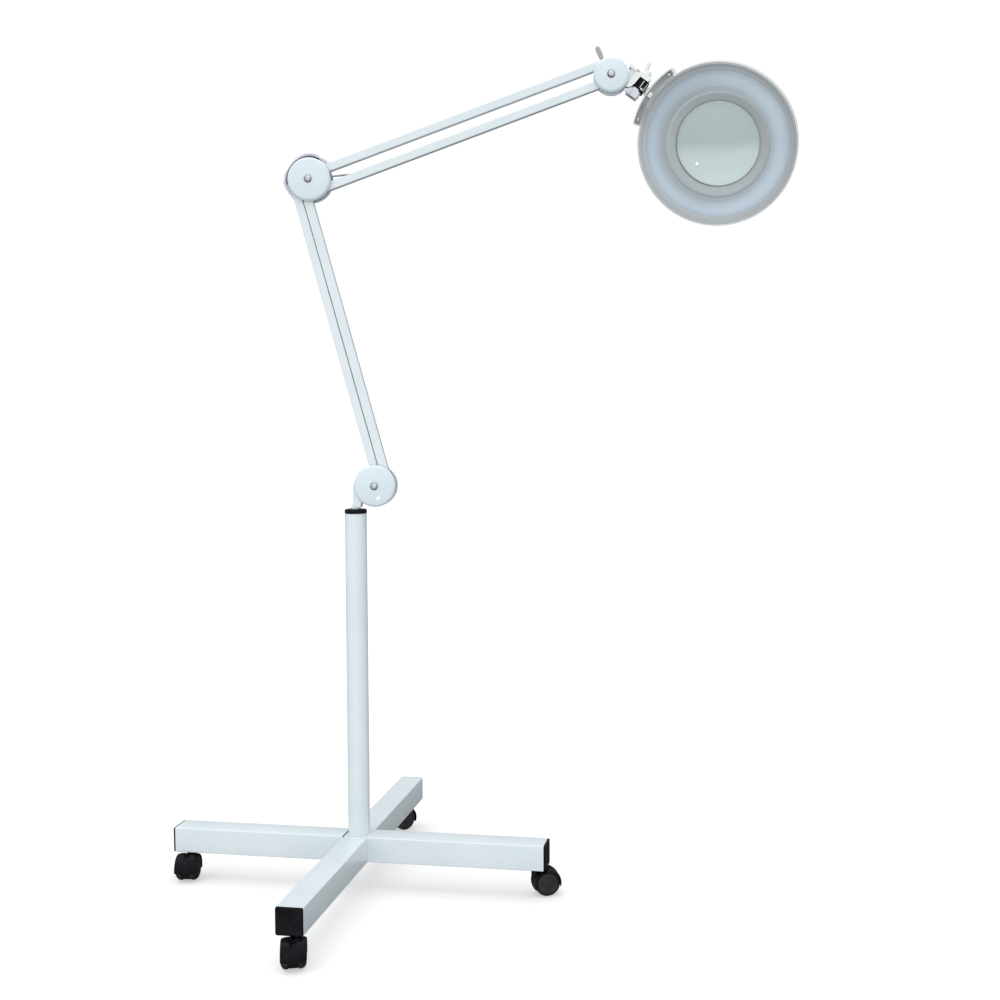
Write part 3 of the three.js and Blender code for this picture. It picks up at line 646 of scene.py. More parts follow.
def build_cross():
    stem = REACH - STEM_IN
    through = turn(beam(-REACH, REACH, (-stem, stem)), "Z", 90)
    piece("beam_through_tube", through, WORLD, "base", PAINT, ["beam_through"], bevel=0.25)
    for leg in ("right", "left"):
        side = beam(BEAM / 2 + GAP, REACH, (stem,))
        piece(f"beam_{leg}_tube", side, BEAMS[leg], "base", PAINT, [f"beam_{leg}"], bevel=0.25)
    # Painted light and shade: a black band paints the shadow in the left beam's joint, a white band paints
    # a light line over the right beam's joint.
    for leg, material in (("left", NYLON), ("right", GLOSS)):
        painted_gap_line = frame_band(BEAM / 2 + 0.05, BEAM / 2 + 1.2)
        piece(f"beam_{leg}_gasket", painted_gap_line, BEAMS[leg], "base", material)
    for leg in LEGS:
        piece(f"end_cap_{leg}_plug", end_cap(), BEAMS[leg], "base", NYLON, [f"end_cap_{leg}"])
        # Painted highlight: a band brighter than the beam's paint round each tube's end, next to the cap,
        # paints the light line along that edge.
        edge = frame_band(REACH - 0.9, REACH)
        piece(f"beam_{leg}_edge", edge, BEAMS[leg], "base", GLOSS, slot="white_paint")


# ---------------------------------------------------------------- casters
AXLE_X, AXLE_Z, WHEEL = 17, -23.3, 19


def wheel_half(side):
    """One wheel, with a dished face, a raised hub and a ring on it."""
    crown = [(WHEEL - 7 + 7 * math.cos(rad(a)), 9.4 + 7 * math.sin(rad(a))) for a in range(0, 91, 10)]
    profile = [(0, 6.4), (WHEEL - 0.8, 6.4), (WHEEL, 7.4), *crown,
               (11.6, 16.35), (11.0, 15.9), (5.6, 15.6), (5.2, 15.8), (4.9, 16.25), (4.4, 16.4),
               (1.5, 16.4), (1.2, 16.1), (0, 16.05)]
    wheel = lathe(profile, 72)
    turn(wheel, "X", -90 if side > 0 else 90)
    return move(wheel, AXLE_X, 0, AXLE_Z)


def hood():
    """The shell over both wheels: two domes with a valley between them, into which the stem goes."""
    inner, outer, half, thick = 19.6, 21.2, 16.6, 1.4
    start, end, steps = -12, 203, 54
    ys = [-15.9 + 31.8 * k / 36 for k in range(37)]
    bm = bmesh.new()
    rings = []
    for i in range(steps + 1):
        away = start + (end - start) * i / steps
        angle = rad(away)
        deep = max(0.0, min(1.0, (away - 18) / 50)) * max(0.0, min(1.0, (178 - away) / 30))
        deep = deep * deep * (3 - 2 * deep)
        tops = [outer - 2.0 * (abs(y) / half) ** 4 - 4.6 * deep * math.exp(-((y / 3.1) ** 2)) for y in ys]
        ring = [(-half, inner - 2), (-half, outer - 2.6), (-half + 0.25, outer - 2.1)]
        ring += list(zip(ys, tops))
        ring += [(half - 0.25, outer - 2.1), (half, outer - 2.6), (half, inner - 2)]
        ring += [(y, min(inner, top - thick)) for y, top in zip(ys[::-1], tops[::-1])]
        rings.append([bm.verts.new((AXLE_X + r * math.cos(angle), y, AXLE_Z + r * math.sin(angle)))
                      for y, r in ring])
    skin(bm, rings)
    web = across(18.1, -6.1, 6.1, AXLE_X, AXLE_Z, 0.8, 72)
    socket = rounded([(0, -24, 0), (5.7, -24, 0.5), (5.7, -6), (5.2, -2.5, 0.6), (0, -2.4, 0)], 0.5, 3)
    return together(bm, web, lathe(socket, 40))


def build_casters():
    for leg in LEGS:
        where = CASTERS[leg]
        piece(f"caster_{leg}_cover", hood(), where, f"caster_{leg}", NYLON, [f"caster_hood_{leg}"])
        flange = lathe(rounded([(4.0, -1.1), (7.2, -1.1), (7.2, -0.3), (4.0, -0.3)], 0.2, 2), 40)
        stem = together(upright(4, 43, z=-13, edge=0.5, sides=32), flange)
        piece(f"caster_{leg}_stem", stem, where, "base", STEEL, [f"caster_stem_{leg}"])
        for side, name in ((-1, "near"), (1, "far")):
            parts = [wheel_half(side)]
            if name == "near":
                parts.append(across(2.4, -15.4, 15.4, AXLE_X, AXLE_Z, 0.3, 24))
            piece(f"caster_{leg}_wheel_{name}", together(*parts), where, f"wheels_{leg}", TREAD,
                  [f"wheel_{name}_{leg}"])


# ---------------------------------------------------------------- post
POST_R, POST_WALL, POST_TOP, COLLAR_TOP = 16, 1.8, 525, 531.3


def build_post():
    bottom = BEAM + GAP
    tube = lathe([(POST_R - POST_WALL, bottom), (POST_R, bottom), (POST_R, POST_TOP - 0.5),
                  (POST_R - 0.15, POST_TOP - 0.15), (POST_R - 0.5, POST_TOP),
                  (POST_R - POST_WALL, POST_TOP)])
    piece("post_tube", tube, WORLD, "base", PAINT, ["post"])
    seam = [(POST_R + 0.05, bottom), (POST_R + 1.2, bottom), (POST_R + 0.95, bottom + 0.4),
            (POST_R + 0.5, bottom + 0.8), (POST_R + 0.2, bottom + 1.1), (POST_R + 0.05, bottom + 1.3)]
    piece("post_weld", lathe(seam), WORLD, "base", PAINT)
    seat = POST_TOP + GAP
    top = COLLAR_TOP
    profile = rounded([(6.3, seat - 55, 0.3), (13.9, seat - 55, 0.6), (13.9, seat, 0), (16.4, seat, 0.3),
                       (16.4, top - 0.2, 1.8), (12.6, top, 0.6), (11.6, top - 0.8, 0.3),
                       (9.6, top - 0.8, 0.3), (8.9, top, 0.2), (6.3, top, 0.3)], 0.3, 4)
    piece("post_collar_bush", lathe(profile), WORLD, "base", NYLON, ["post_collar"])


# ---------------------------------------------------------------- joints of the arm
PLATE_IN, PLATE_OUT, DISC_AT, DISC_THICK = 6.3, 8.3, 8.7, 8.4
LEAD_Z = -19  # height of the mains lead's hole in the lowest joint


def plates(radius, pivots, extras=()):
    """Two riveted side plates about the origin of an arm frame, with pivots in x and z."""
    parts = []
    for side in (-1, 1):
        low, high = sorted((side * PLATE_IN, side * PLATE_OUT))
        parts.append(cut(across(radius, low, high, edge=0.3, sides=ROUND), across(2.8, low - 2, high + 2)))
    for x, z in pivots:
        parts.append(across(3.0, -PLATE_OUT - 0.05, PLATE_OUT + 0.05, x, z, 0.3, 32))
        for side in (-1, 1):
            head = move(turn(lathe([(0, 0), (4.6, 0), (4.4, 0.25), (0, 0.3)], 32), "X", -90 * side),
                        x, side * PLATE_OUT, z)
            parts.append(head)
    return together(*parts, *extras)


def local(matrix, point):
    """A world point in a millimetre frame, as x and z."""
    inside = matrix.inverted() @ point
    return inside.x, inside.z


def cover(radius):
    """A glossy pressed cover: shallow dome, rolled rim, dimple under the bolt."""
    outer = rounded([(radius, 0, 0.3), (radius, 3.0, 2.2), (radius - 2.6, 6.0, 3.5),
                     (radius * 0.55, 7.75, 40), (8, 8.35, 12), (6.4, DISC_THICK, 0.4), (6.0, 8.0, 0.5),
                     (2.8, 8.0, 0.2), (2.8, 6.4, 0.2), (radius * 0.5, 5.9, 20), (radius - 4, 4.2, 2),
                     (radius - 2, 2.0, 0.8), (radius - 2, 0, 0.3)], 0.3, 6)
    return lathe(outer)


def dome_bolt(tail):
    """A domed screw with a cross recess in front, and a nut behind unless it has a tail."""
    reach = DISC_AT + DISC_THICK + GAP
    dome = [(4.6 * math.cos(rad(a)) ** 0.9, 0.5 + 2.55 * math.sin(rad(a))) for a in range(8, 90, 8)]
    head = lathe([(0, 0), (4.5, 0), (4.6, 0.5), *dome, (0, 3.05)], 48)
    slots = [turn(box((-2.4, 2.4), (-0.45, 0.45), (1.9, 4)), "Z", 35 + 90 * k) for k in range(2)]
    head = cut(head, *slots)
    front = move(turn(head, "X", 90), y=-reach)
    shank = across(2.5, -reach - 0.5, reach + 1 + tail)
    if tail:
        return together(shank, front)
    nut = move(turn(prism(circle(4.6, 6), 0, 3.3), "X", -90), y=reach)
    return together(shank, front, nut)


def build_joint(name, body, radius, plate_radius, pivots, tail=0, lead_hole=False, extras=()):
    where = ARM[name]
    inside = [local(where, point) for point in pivots]
    bracket = "arm_bracket" if name == "base" else f"{name}_bracket"
    piece(f"{name}_plates", plates(plate_radius, inside, extras), where, body, LIT_ARM_PAINT, [bracket])
    front = move(turn(cover(radius), "X", 90), y=-DISC_AT)
    piece(f"{name}_cover_front", front, where, body, COVER, [f"{name}_disc_front"])
    rear = move(turn(cover(radius), "X", -90), y=DISC_AT)
    if lead_hole:
        rear = cut(rear, across(5.3, 4, 40, 0, LEAD_Z))
    piece(f"{name}_cover_rear", rear, where, body, COVER, [f"{name}_disc_rear"])
    piece(f"{name}_bolt_set", dome_bolt(tail), where, body, STEEL, [f"{name}_bolt"])
    # Painted shade: a near-black ring under the bolt head, set a little low and to the left, paints the
    # dark crescent round the bolt.
    shade_ring = turn(lathe(rounded([(2.6, 0), (5.3, 0), (5.3, 0.5), (2.6, 0.5)], 0.2, 2), 48), "X", 90)
    piece(f"{name}_washer", move(shade_ring, -0.25, -DISC_AT - DISC_THICK - GAP, -0.3), where, body, SHADE_RING_STEEL)


def neck_tab():
    """The neck that rises from the collar into the lowest joint, in the base joint's frame."""
    post = local(ARM["base"], Vector((0, 0, 0)))
    x0, floor = post[0] - 2.6, post[1] + COLLAR_TOP + GAP
    outline = rounded([(x0, floor + 2.6), (x0 + 11.4, floor + 2.6), (x0 + 12.5, floor + 12, 6),
                       (2, floor + 16, 3), (6, 6), (x0 + 9, 6, 6), (x0, 1, 7)], 0.9, 5)
    block = turn(prism(outline, -PLATE_OUT, PLATE_OUT), "X", 90)
    shoulder = lathe(rounded([(0, 0, 0), (7.6, 0), (7.6, 2.9), (0, 2.9, 0)], 0.6, 3), 48)
    move(shoulder, post[0], 0, floor)
    pin = upright(6, 66, post[0], 0, post[1] + POST_TOP - 53, edge=0.8)
    return [block, shoulder, pin]


def build_joints():
    lower_far = at("lower_tie_swing") + (at("elbow_level") - at("lower_arm_swing"))
    upper_far = at("upper_tie_swing") + (at("end_level") - at("upper_arm_swing"))
    build_joint("base", "arm_base", 31, 28.5, [at("lower_arm_swing"), at("lower_tie_swing")],
                lead_hole=True, extras=neck_tab())
    build_joint("elbow", "elbow", 31.6, 29,
                [at("elbow_level"), at("upper_arm_swing"), at("upper_tie_swing"), lower_far])
    build_joint("end", "end_joint", 25.6, 25, [at("end_level"), upper_far], tail=6)
    grommet = lathe(rounded([(3, 2), (5, 2), (5, DISC_THICK), (7, DISC_THICK), (6.6, 10.2), (5.0, 12.2),
                             (4.4, 14), (3, 14)], 0.4, 3), 48)
    turn(grommet, "X", -90)
    piece("lead_bush", move(grommet, 0, DISC_AT, LEAD_Z), ARM["base"], "arm_base", NYLON,
          ["cord_grommet"])


# ---------------------------------------------------------------- links
LINK, LINK_WALL, LINK_END = 12, 1.2, 6.1
LINK_LENGTH = (at("elbow_level") - at("lower_arm_swing")).length / MM


def link(slot=None, ports=()):
    """A square tube with eased corners, round ends and pivot holes."""
    tube = prism(square(LINK, 1.5), -LINK_END, LINK_LENGTH + LINK_END, square(LINK - 2 * LINK_WALL, 0.5))
    turn(tube, "Y", 90)
    tools = [across(3.25, -10, 10, x) for x in (0, LINK_LENGTH)]
    for x, side in ((0, -1), (LINK_LENGTH, 1)):
        corner = prism([(0, -9), (9 * side, -9), (9 * side, 9), (0, 9)]
                       if side > 0 else [(0, -9), (0, 9), (9 * side, 9), (9 * side, -9)], -9, 9)
        corner = move(turn(corner, "X", 90), x)
        round_end = across(LINK_END, -12, 12, x, edge=0.01, sides=64)
        tools.append(cut(corner, round_end))
    if slot:
        tools.append(box(slot, (-2.2, 2.2), (0, 9)))
    for x, z in ports:
        tools.append(upright(3.1, 6, x, 0, z, sides=24))
    return cut(tube, *tools)


def coil(start, end, radius, wire, pitch):
    turns = (end - start) / pitch
    count = int(turns * 14)
    path = [(start + (end - start) * k / count, radius * math.cos(2 * math.pi * turns * k / count),
             radius * math.sin(2 * math.pi * turns * k / count)) for k in range(count + 1)]
    return sweep(path, wire, 6)


HOOK = [(24, 0, 13.1), (31, 0, 12.2), (44, 0, 9.1), (56.4, 0, 5.9), (70, 0, 3.0), (84, 0, 0.5)]


def build_links():
    for name, where, body, nodes, slot, ports in (
            ("lower_tube_outer", LOWER_OUTER, "lower_arm", ["lower_link_outer"], None, [(424, 3)]),
            ("lower_tube_inner", LOWER_INNER, "lower_tie", ["lower_link_inner"], None, []),
            ("upper_tube_top", UPPER_TOP, "upper_arm", ["upper_link_top"], None, [(23, 3)]),
            ("upper_tube_bottom", UPPER_BOTTOM, "upper_tie", ["upper_link_bottom"], (36, 84), [])):
        piece(name, link(slot, ports), where, body, LIT_ARM_PAINT, nodes)
    piece("lower_coil", coil(80, 210, 3.0, 0.55, 1.9), LOWER_INNER, "lower_tie", SPRING_STEEL,
          ["lower_spring"])
    piece("upper_coil", together(coil(84, 210, 3.0, 0.55, 1.9), sweep(smooth_path(HOOK, 6), 1.3, 16)),
          UPPER_BOTTOM, "upper_tie", SPRING_STEEL, ["upper_spring"])


# ---------------------------------------------------------------- cable round the elbow
CABLE_R, CABLE_SIDES = 2.75, 18
# inner and outer radius of the black strip painted as the cable's shadow
SHADOW_STRIP_IN, SHADOW_STRIP_OUT = 31.9, 33.6
# the loop's middle line round the joint, as (degrees, distance)
ROUTE = [(68, 35.2), (78, 37), (90, 37.6), (105, 37.2), (122, 35.6), (140, 34.3), (150, 34.4), (165, 36.2),
         (179, 36.6)]


def build_cable():
    """One cable in three pieces: the loop rides on the elbow, its ends bend into the tubes."""
    middle = [(r * math.cos(rad(a)), 0, r * math.sin(rad(a))) for a, r in ROUTE]
    into_upper = [(38, 0, 22.4), (33, 0, 22.2), (27.2, 0, 24.6), (20.4, 0, 28.8)]
    into_lower = [(-37.0, 0, -3.4), (-34.6, 0, -10.0), (-29.6, 0, -17.6), (-24.2, 0, -24.4),
                  (-18.4, 0, -32.5)]
    steps = 6
    path = smooth_path(into_upper + middle + into_lower, steps)
    first = len(into_upper) * steps
    last = first + (len(middle) - 1) * steps
    where = ARM["elbow"]

    def cable(name, points, body=None, nodes=()):
        return piece(name, sweep(points, CABLE_R, CABLE_SIDES), where, body, SHEATH, nodes)

    cable("cable_loop", path[first:last + 1], "elbow", ["elbow_cable"])
    upper = cable("cable_into_upper_arm", path[:first + 1])
    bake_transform(upper)
    # Painted shadow: a black strip between the front cover's edge and the cable loop stands in for the
    # cable's shadow.
    band = circle(SHADOW_STRIP_IN, 41, start=64, end=192, closed=False)
    band += circle(SHADOW_STRIP_OUT, 41, start=64, end=192, closed=False)[::-1]
    seat = turn(prism(band, 6.4, 8.2), "X", 90)
    piece("elbow_cable_shadow_strip", seat, where, "elbow", NYLON, bevel=0.3)
    lower = cable("cable_into_lower_arm", path[last:])
    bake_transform(lower)


# ---------------------------------------------------------------- lever, neck and wing nut
JAW_X = 40.5  # from the tilt bolt to the swing bolt


def build_neck():
    lever_axis = Matrix.Rotation(rad(-113), 4, "Y")
    hub = lathe(rounded([(2.8, 18.4), (8, 18.4), (8, 25.4, 1.4), (6.5, 27, 0.8), (2.8, 27)], 0.3, 4), 56)
    turn(hub, "X", -90)
    handle = bmesh.new()
    rings = []
    for x, half_z, low, high in ((3, 4.8, 18.6, 26.6), (8, 3.3, 19.2, 26.2), (18, 2.7, 19.6, 25.6),
                                 (30, 3.2, 19.8, 25.6), (40, 4.1, 19.8, 25.6), (47, 4.3, 19.9, 25.5),
                                 (51.4, 3.9, 20.4, 25.0), (53.9, 1.9, 21.6, 24.0)):
        middle, tall = (low + high) / 2, (high - low) / 2
        rings.append([handle.verts.new((x, middle + tall * math.sin(rad(45 * k)),
                                        half_z * math.cos(rad(45 * k)))) for k in range(8)])
    skin(handle, rings)
    lever = together(hub, subdivided(handle))
    lever.transform(lever_axis)
    piece("lever_handle", lever, ARM["end"], "lever", GREY, ["tilt_lever"])

    def sideways(outline, y0, y1):
        return turn(prism(outline, -y1, -y0), "X", 90)

    def jaw(z0, z1, start):
        nose = circle(10, 24, JAW_X, 0, -90, 90, closed=False)[1:-1]
        return prism([(start, -10), (JAW_X, -10), *nose, (JAW_X, 10), (start, 10)], z0, z1)

    lug = cut(across(8, -5.9, 5.9, edge=0.5, sides=56), across(2.8, -10, 10))
    shank = sideways(rounded([(4, -3.5), (27.5, -3.5), (27.5, 26.5), (18.5, 26.5, 2), (17, 15, 3),
                              (9, 12, 5), (2, 7.5, 3)], 1, 4), -5.9, 5.9)
    back = box((26.5, 31), (-10, 10), (-3.5, 29.5))
    cheek = rounded([(30.5, -3.5, 0), (33.0, -3.5, 1), (34.6, 5, 4), (35.3, 14, 4), (36.0, 22.8, 0.4),
                     (50, 22.8, 1), (50, 29.5, 1), (30.5, 29.5, 0)], 1, 5)
    fork = together(lug, shank, back, cut(jaw(25.5, 29.5, 14), upright(2.8, 20, JAW_X, 0, 20)),
                    cut(jaw(-3.5, 0.5, 26.5), upright(2.8, 20, JAW_X, 0, -10)),
                    sideways(cheek, -10.3, -9.35), sideways(cheek, 9.35, 10.3))
    piece("neck_fork", fork, NECK, "knuckle", GLOSS, ["knuckle_fork"], bevel=0.5, segments=3)
    under = cut(box((31, 49), (-8.6, 8.6), (-7.5, -3.7)), upright(6.2, 20, JAW_X, 0, -14, edge=0.1))
    panels = [sideways(outline, -11.0, -10.35) for outline in (
        [(27, -7.5), (37.6, -7.5), (37.6, 3.2), (35.5, 3.2), (33.5, 1.6), (31, -1.2), (27, -4)],
        [(38.2, -7.5), (48.6, -7.5), (48.6, 3.2), (38.2, 3.2)])]
    # Painted shadow: a thin black line along the edge of the fork's front cheek.
    shadow_line_path = [(26.6, -10.4, -3.6), (31, -10.4, -0.2), (33.8, -10.4, 3.6), (34.9, -10.4, 9)]
    seam = sweep(smooth_path(shadow_line_path, 5), 0.5, 10)
    piece("neck_shadow_line", seam, NECK, "knuckle", NYLON)
    # Painted shade: the block under the lower jaw and the panels on its front are white plastic, given the
    # cable's darker lilac colour for their shade.
    piece("neck_lower_block", together(under, *panels), NECK, "knuckle", SHEATH, bevel=0.3, segments=3,
          slot="white_plastic")

    bolt = together(upright(2.5, 41.4, z=-17.8, edge=0.4), move(prism(circle(5, 6), 0, 3.6), z=-20.4))
    bolt_at = place(at("head_swing"), NECK_ALONG, REAR)
    piece("neck_bolt", bolt, bolt_at, "knuckle", STEEL, ["swing_bolt"], bevel=0.3)

    seat = 16.8
    nut_hub = lathe(rounded([(2.8, seat), (6, seat), (5.8, seat + 2, 0.6), (4.7, seat + 8.6, 1.0),
                             (2.8, seat + 9)], 0.4, 3), 40)
    tall = ((2.2, 3.0, 4.6, 2.4), (3.8, 4.8, 4.9, 2.3), (4.8, 9.0, 4.7, 2.0), (5.6, 13.6, 4.4, 1.9),
            (6.2, 17.4, 4.2, 1.8), (6.5, 19.4, 2.9, 1.3))
    short = ((2.2, 2.6, 3.4, 2.1), (4.6, 3.4, 3.2, 2.0), (6.4, 5.0, 2.4, 1.8), (7.2, 6.8, 2.0, 1.6),
             (7.3, 8.0, 1.1, 1.1))
    ears = []
    for half_turn, rows in ((0, tall), (180, short)):
        ear = bmesh.new()
        loops = [[ear.verts.new((x + wide * math.cos(rad(60 * k)), thick * math.sin(rad(60 * k)) * 1.15,
                                 seat + z + 0.35 * wide * math.cos(rad(60 * k)))) for k in range(6)]
                 for x, z, wide, thick in rows]
        skin(ear, loops)
        ears.append(turn(subdivided(ear), "Z", half_turn))
    nut = together(nut_hub, *ears)
    turn(nut, "Z", 213)
    piece("wing_nut_moulding", nut, bolt_at, "nut", GLOSS, ["wing_nut"])

    barrel = cut(upright(9, 24.4, z=-12.2, edge=0.8, sides=56), upright(2.8, 40, z=-20))
    nose = cut(box((4, 11.6), (-8, 8), (-9, 9)), turn(upright(4.3, 20, z=3.3), "Y", 90))
    piece("swivel_socket", together(barrel, nose), SWIVEL, "swivel", NYLON, ["swivel_block"],
          bevel=0.5, segments=3)
    screw = lathe([(0, 0), (1.9, 0), (2.0, 0.3), (1.7, 0.75), (1.0, 1.0), (0, 1.05)], 28)
    turn(screw, "X", 90)
    bush = move(lathe(rounded([(2.8, 0), (9.3, 0), (9.3, 5.4), (2.8, 5.4)], 0.5, 3), 56), z=-12.2)
    piece("swivel_bush", bush, SWIVEL, "swivel", SHELL)
    bars = together(box((2.6, 3.9), (-8.75, -7.9), (-3.4, 8.4)),
                    box((9.4, 10.4), (-8.5, -7.7), (-5.6, 7.4)))
    piece("swivel_bars", bars, SWIVEL, "swivel", STEEL, bevel=0.2)
    piece("swivel_screw", move(screw, 6.5, -7.9, -3.7), SWIVEL, "swivel", STEEL)


# ---------------------------------------------------------------- head
HEAD_R, HEAD_BACK, HEAD_SIDES, LENS_R = 117.85, -20, 144, 63.5


def build_head():
    shell = lathe(rounded([
        (HEAD_R, 12, 0.9), (HEAD_R, -8, 8), (114.6, -16.5, 7), (102, HEAD_BACK, 8), (72, HEAD_BACK, 0.6),
        (70.5, -22.5, 0.8), (61.5, -22.5, 0.9), (61.5, -12.9, 0.3), (64.3, -12.9, 0), (64.3, -7, 0.2),
        (66.5, -7, 0.2), (66.5, -17.5, 1), (105, -17.5, 5), (113.1, -14, 5), (115.5, -9, 6),
        (115.5, 12, 0.6)], 0.4, 6), HEAD_SIDES)
    window = box((-100, -86), (-10, 10), (-26, -15))
    piece("head_shell", cut(shell, window), HEAD, "head", SHELL, ["head_housing"])

    rim = lathe(rounded([(115.2, 11.6, 0.7), (113.9, 11.6, 0.7), (112.9, 9.4, 1.4), (110.5, 6.0, 2.5),
                         (105.4, 3.1, 0.5), (105, 2.3, 0.2), (110, 3.4, 1), (115.2, 7.6, 0.5)],
                        0.5, 5), HEAD_SIDES)
    piece("front_ring", rim, HEAD, "head", RING_SHADE, ["head_bezel"])

    frosted = lathe([(74, 0), (112, 0), (112, 2), *rounded_ridge(107.2, 2), *rounded_ridge(101.0, 2),
                     *rounded_ridge(81.5, 2), (74, 2)], HEAD_SIDES)
    piece("frosted_ring", frosted, HEAD, "head", FROST, ["diffuser"])

    cone = lathe(rounded([(76.5, 2.4, 0.2), (76.2, 2.9, 0.4), (73.2, 3.0, 4), (62.9, -3.6, 1),
                          (61.5, -4.2, 0.5), (61.5, -7.6, 0.2), (63.8, -7.6, 0.2), (63.8, -6.2, 0.3),
                          (72.6, 2.4, 0.5)], 0.4, 5), HEAD_SIDES)
    piece("lens_cone", cone, HEAD, "head", CONE_SHADE, ["inner_collar"])

    steps = 18
    front = [(LENS_R * k / steps, -8.2 + 5 * (1 - (k / steps) ** 2)) for k in range(steps + 1)]
    back = [(LENS_R * k / steps, -12.2 - 5 * (1 - (k / steps) ** 2)) for k in range(steps + 1)]
    piece("lens_disc", lathe(back + front[::-1], HEAD_SIDES), HEAD, "head", LENS, ["lens"])

    build_board()
    build_tray()
    build_switch()


def rounded_ridge(radius, z):
    return [(radius + 0.8 * math.cos(rad(a)), z + 0.35 * math.sin(rad(a))) for a in range(0, 181, 30)]


def build_board():
    parts = [lathe(rounded([(78, -10.6), (104, -10.6), (104, -9.0), (78, -9.0)], 0.15, 2), 120)]
    for k in range(12):
        parts.append(turn(box((89.6, 92.4), (-1.4, 1.4), (-9.05, -7.9)), "Z", 30 * k))
    piece("light_board", together(*parts), HEAD, "head", BOARD, ["led_board"], bevel=0.12)


TRAY_IN, TRAY_OUT, TRAY_HALF = 118.5, 128.5, 22.5
SCREW_REACH, SCREW_ANGLE = 122.4, 18.4


def arc_block(r0, r1, a0, a1, z0, z1, corner):
    """Part of a ring whose two outer corners are rounded."""
    ends = [0, 0.03, 0.12, 0.3, 0.6, 1]
    near = [corner * k for k in ends]
    span = rad(a1 - a0) * r1
    inner = [corner + (span - 2 * corner) * k / 30 for k in range(1, 30)]
    outline = []
    for d in near + inner + [span - k for k in near[::-1]]:
        edge = min(d, span - d)
        drop = corner - math.sqrt(max(0, corner ** 2 - (corner - edge) ** 2)) if edge < corner else 0
        angle = rad(a0) + d / r1
        outline.append(((r1 - drop) * math.cos(angle), (r1 - drop) * math.sin(angle)))
    for k in range(31):
        angle = rad(a1 + (a0 - a1) * k / 30)
        outline.append((r0 * math.cos(angle), r0 * math.sin(angle)))
    return prism(outline, z0, z1)


def build_tray():
    low, high = 180 - TRAY_HALF, 180 + TRAY_HALF
    wall = math.degrees(2.2 / TRAY_OUT)
    screws = [(SCREW_REACH * math.cos(rad(a)), SCREW_REACH * math.sin(rad(a)))
              for a in (180 - SCREW_ANGLE, 180 + SCREW_ANGLE)]

    def holes(radius):
        return [upright(radius, 30, *screw, -15, sides=28) for screw in screws]

    floor = cut(arc_block(TRAY_IN, TRAY_OUT, low, high, -11, 4.6, 3.6), *holes(1.95))
    rim = cut(arc_block(TRAY_IN, TRAY_OUT, low, high, 4.0, 11, 3.6),
              arc_block(TRAY_IN - 3, TRAY_OUT - 2.2, low + wall, high - wall, 3, 12, 1.6))
    boss = turn(upright(7, 4, z=-130.3, edge=0.6), "Y", 90)
    spindle = turn(upright(4, HEAD_REACH - 3.6 - 127, z=-HEAD_REACH + 3.6, edge=0.4), "Y", 90)
    tray = together(floor, rim, boss, spindle)
    piece("head_tray", tray, HEAD, "head", SHELL, ["head_bracket"], bevel=0.5, segments=3)
    # Painted shade: a grey sheet over the tray's recessed floor, and a grey strip over the head's rim
    # beside the tray, stand in for their shade.
    floor_shade = arc_block(TRAY_IN + 0.1, TRAY_OUT - 2.3, low + wall + 0.05, high - wall - 0.05, 4.62, 5.0, 1.5)
    floor_shade = cut(floor_shade, *holes(3.6))
    piece("head_tray_floor_shade", floor_shade, HEAD, "head", SHADE_GREY, bevel=0.1)
    rim_shade_strip = arc_block(113.4, TRAY_IN + 0.3, low + 1.5, high - 1.5, 11.75, 12.1, 1.5)
    piece("head_rim_shade_strip", rim_shade_strip, HEAD, "head", SHADE_GREY, bevel=0.15)
    tab = box((-TRAY_OUT + 3.2, -TRAY_IN + 0.1), (-4, 4), (4.8, 9.6))
    piece("head_tray_tab", tab, HEAD, "head", GLOSS, bevel=1.3, segments=4)
    for name, (x, y) in zip(("upper", "lower"), screws):
        head = lathe([(0, 5.3), (3.2, 5.3), (3.2, 6.0), (2.9, 6.7), (2.3, 7.15), (1.2, 7.3), (0, 7.3)], 36)
        screw = together(move(head, x, y), upright(1.6, 16.5, x, y, -10.4, edge=0.2, sides=24))
        piece(f"tray_screw_{name}", screw, HEAD, "head", STEEL, [f"bracket_screw_{name}"])


def build_switch():
    rocker = bmesh.new()
    rows = []
    for y, z in ((-9, 0), (-8.6, 0.0), (-4, -0.35), (0, -0.9), (4, -0.35), (8.6, 0.0), (9, 0)):
        rows.append([rocker.verts.new((x, y, z - 4.2)) for x in (-6, 6)] +
                    [rocker.verts.new((x, y, 0)) for x in (6, -6)])
    skin(rocker, rows)
    tilted = Matrix.Rotation(rad(6), 4, ROLL)
    rocker_at = place(at("switch_rock"), ROLL, tilted @ (HEAD.to_3x3().col[1]))
    piece("rocker_key", rocker, rocker_at, "switch", NYLON, ["power_switch"], bevel=0.5, segments=3)


# ---------------------------------------------------------------- studio
ROOM_LEVEL = 0.64
ROOM_SLOPE = (0.0, -0.46, 0.44)
ROOM_LEAST = 0.05
BACKDROP = 1.05
FLOOR_GLOW, FLOOR_HALF, FLOOR_GAP = 0.44, 20, 0.0002
SUN_STRENGTH, SUN_SOFTNESS, SUN_DOWN = 0.76, 60, (0.16, -0.12, -1)
SMALL_LAMP_POWER, SMALL_LAMP_RADIUS, SMALL_LAMP_AT = 1.0, 0.014, (0.0865, -1.2, 0.172)


def add_light(name, kind, energy):
    light = bpy.data.lights.new(name, kind)
    light.energy = energy
    item = bpy.data.objects.new(name, light)
    bpy.context.scene.collection.objects.link(item)
    return item


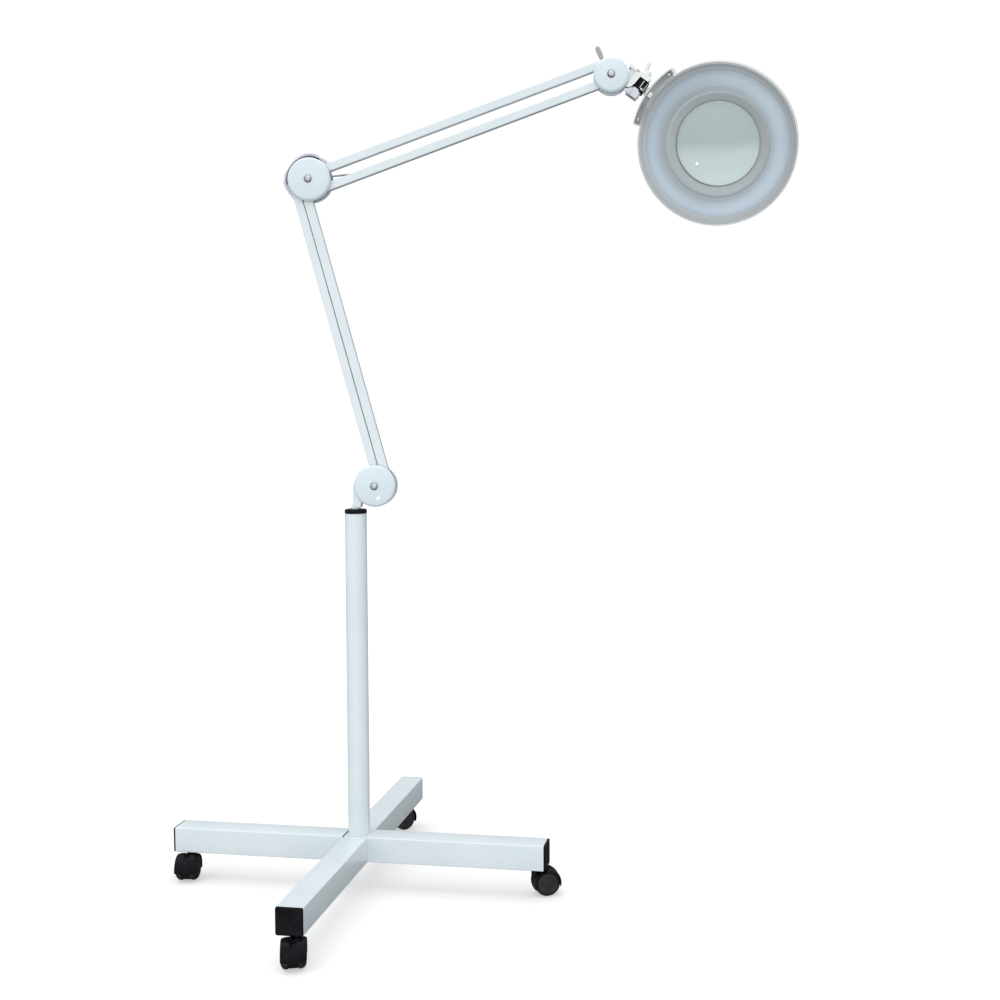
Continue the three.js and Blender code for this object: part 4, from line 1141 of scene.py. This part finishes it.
def build_studio():
    low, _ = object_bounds()
    floor_material, tree, shader = new_material(
        "studio_floor", Roughness=0.9, Specular_IOR_Level=0.1, Emission_Color=(1, 1, 1, 1),
        Emission_Strength=FLOOR_GLOW)
    feed(tree, shader["Base Color"], ramp(tree, noise(tree, 1.5, 2), [
        (0.3, (0.57, 0.57, 0.575)), (0.7, (0.59, 0.59, 0.595))]))
    bm = bmesh.new()
    bmesh.ops.create_grid(bm, x_segments=24, y_segments=24, size=FLOOR_HALF)
    mesh = bpy.data.meshes.new("studio_floor")
    bm.to_mesh(mesh)
    bm.free()
    mesh.materials.append(floor_material)
    floor = bpy.data.objects.new("studio_floor", mesh)
    floor.location.z = low[2] - FLOOR_GAP
    bpy.context.scene.collection.objects.link(floor)
    floor.visible_diffuse = False
    floor.visible_glossy = False

    # The room is brightest above and in front, dim below; what lies straight behind the lamp is white.
    world = bpy.data.worlds.new("studio")
    bpy.context.scene.world = world
    world.use_nodes = True
    tree = world.node_tree
    direction = node(tree, "TexCoord").outputs["Generated"]
    slope = node(tree, "VectorMath", direction, ROOM_SLOPE, operation="DOT_PRODUCT").outputs["Value"]
    level = node(tree, "Math", slope, ROOM_LEVEL, operation="ADD").outputs["Value"]
    level = node(tree, "Math", level, ROOM_LEAST, operation="MAXIMUM").outputs["Value"]
    room = tree.nodes["Background"]
    feed(tree, room.inputs["Color"], (1, 1, 1, 1))
    feed(tree, room.inputs["Strength"], level)
    seen = node(tree, "Background", Color=(1, 1, 1, 1), Strength=BACKDROP)
    path = node(tree, "LightPath").outputs
    either = node(tree, "Math", path["Is Camera Ray"], path["Is Transmission Ray"], operation="MAXIMUM")
    mix = node(tree, "MixShader", either.outputs["Value"], room.outputs["Background"],
               seen.outputs["Background"])
    feed(tree, tree.nodes["World Output"].inputs["Surface"], mix.outputs["Shader"])

    overhead = add_light("overhead_light", "SUN", SUN_STRENGTH)
    overhead.data.angle = rad(SUN_SOFTNESS)
    overhead.rotation_euler = Vector(SUN_DOWN).to_track_quat("-Z", "Y").to_euler()
    small = add_light("small_lamp", "POINT", SMALL_LAMP_POWER)
    small.data.shadow_soft_size = SMALL_LAMP_RADIUS
    small.location = SMALL_LAMP_AT

    view = bpy.context.scene.view_settings
    view.view_transform = "Standard"
    view.look = "None"


build_cross()
build_casters()
build_post()
build_joints()
build_links()
build_cable()
build_neck()
build_head()
build_studio()
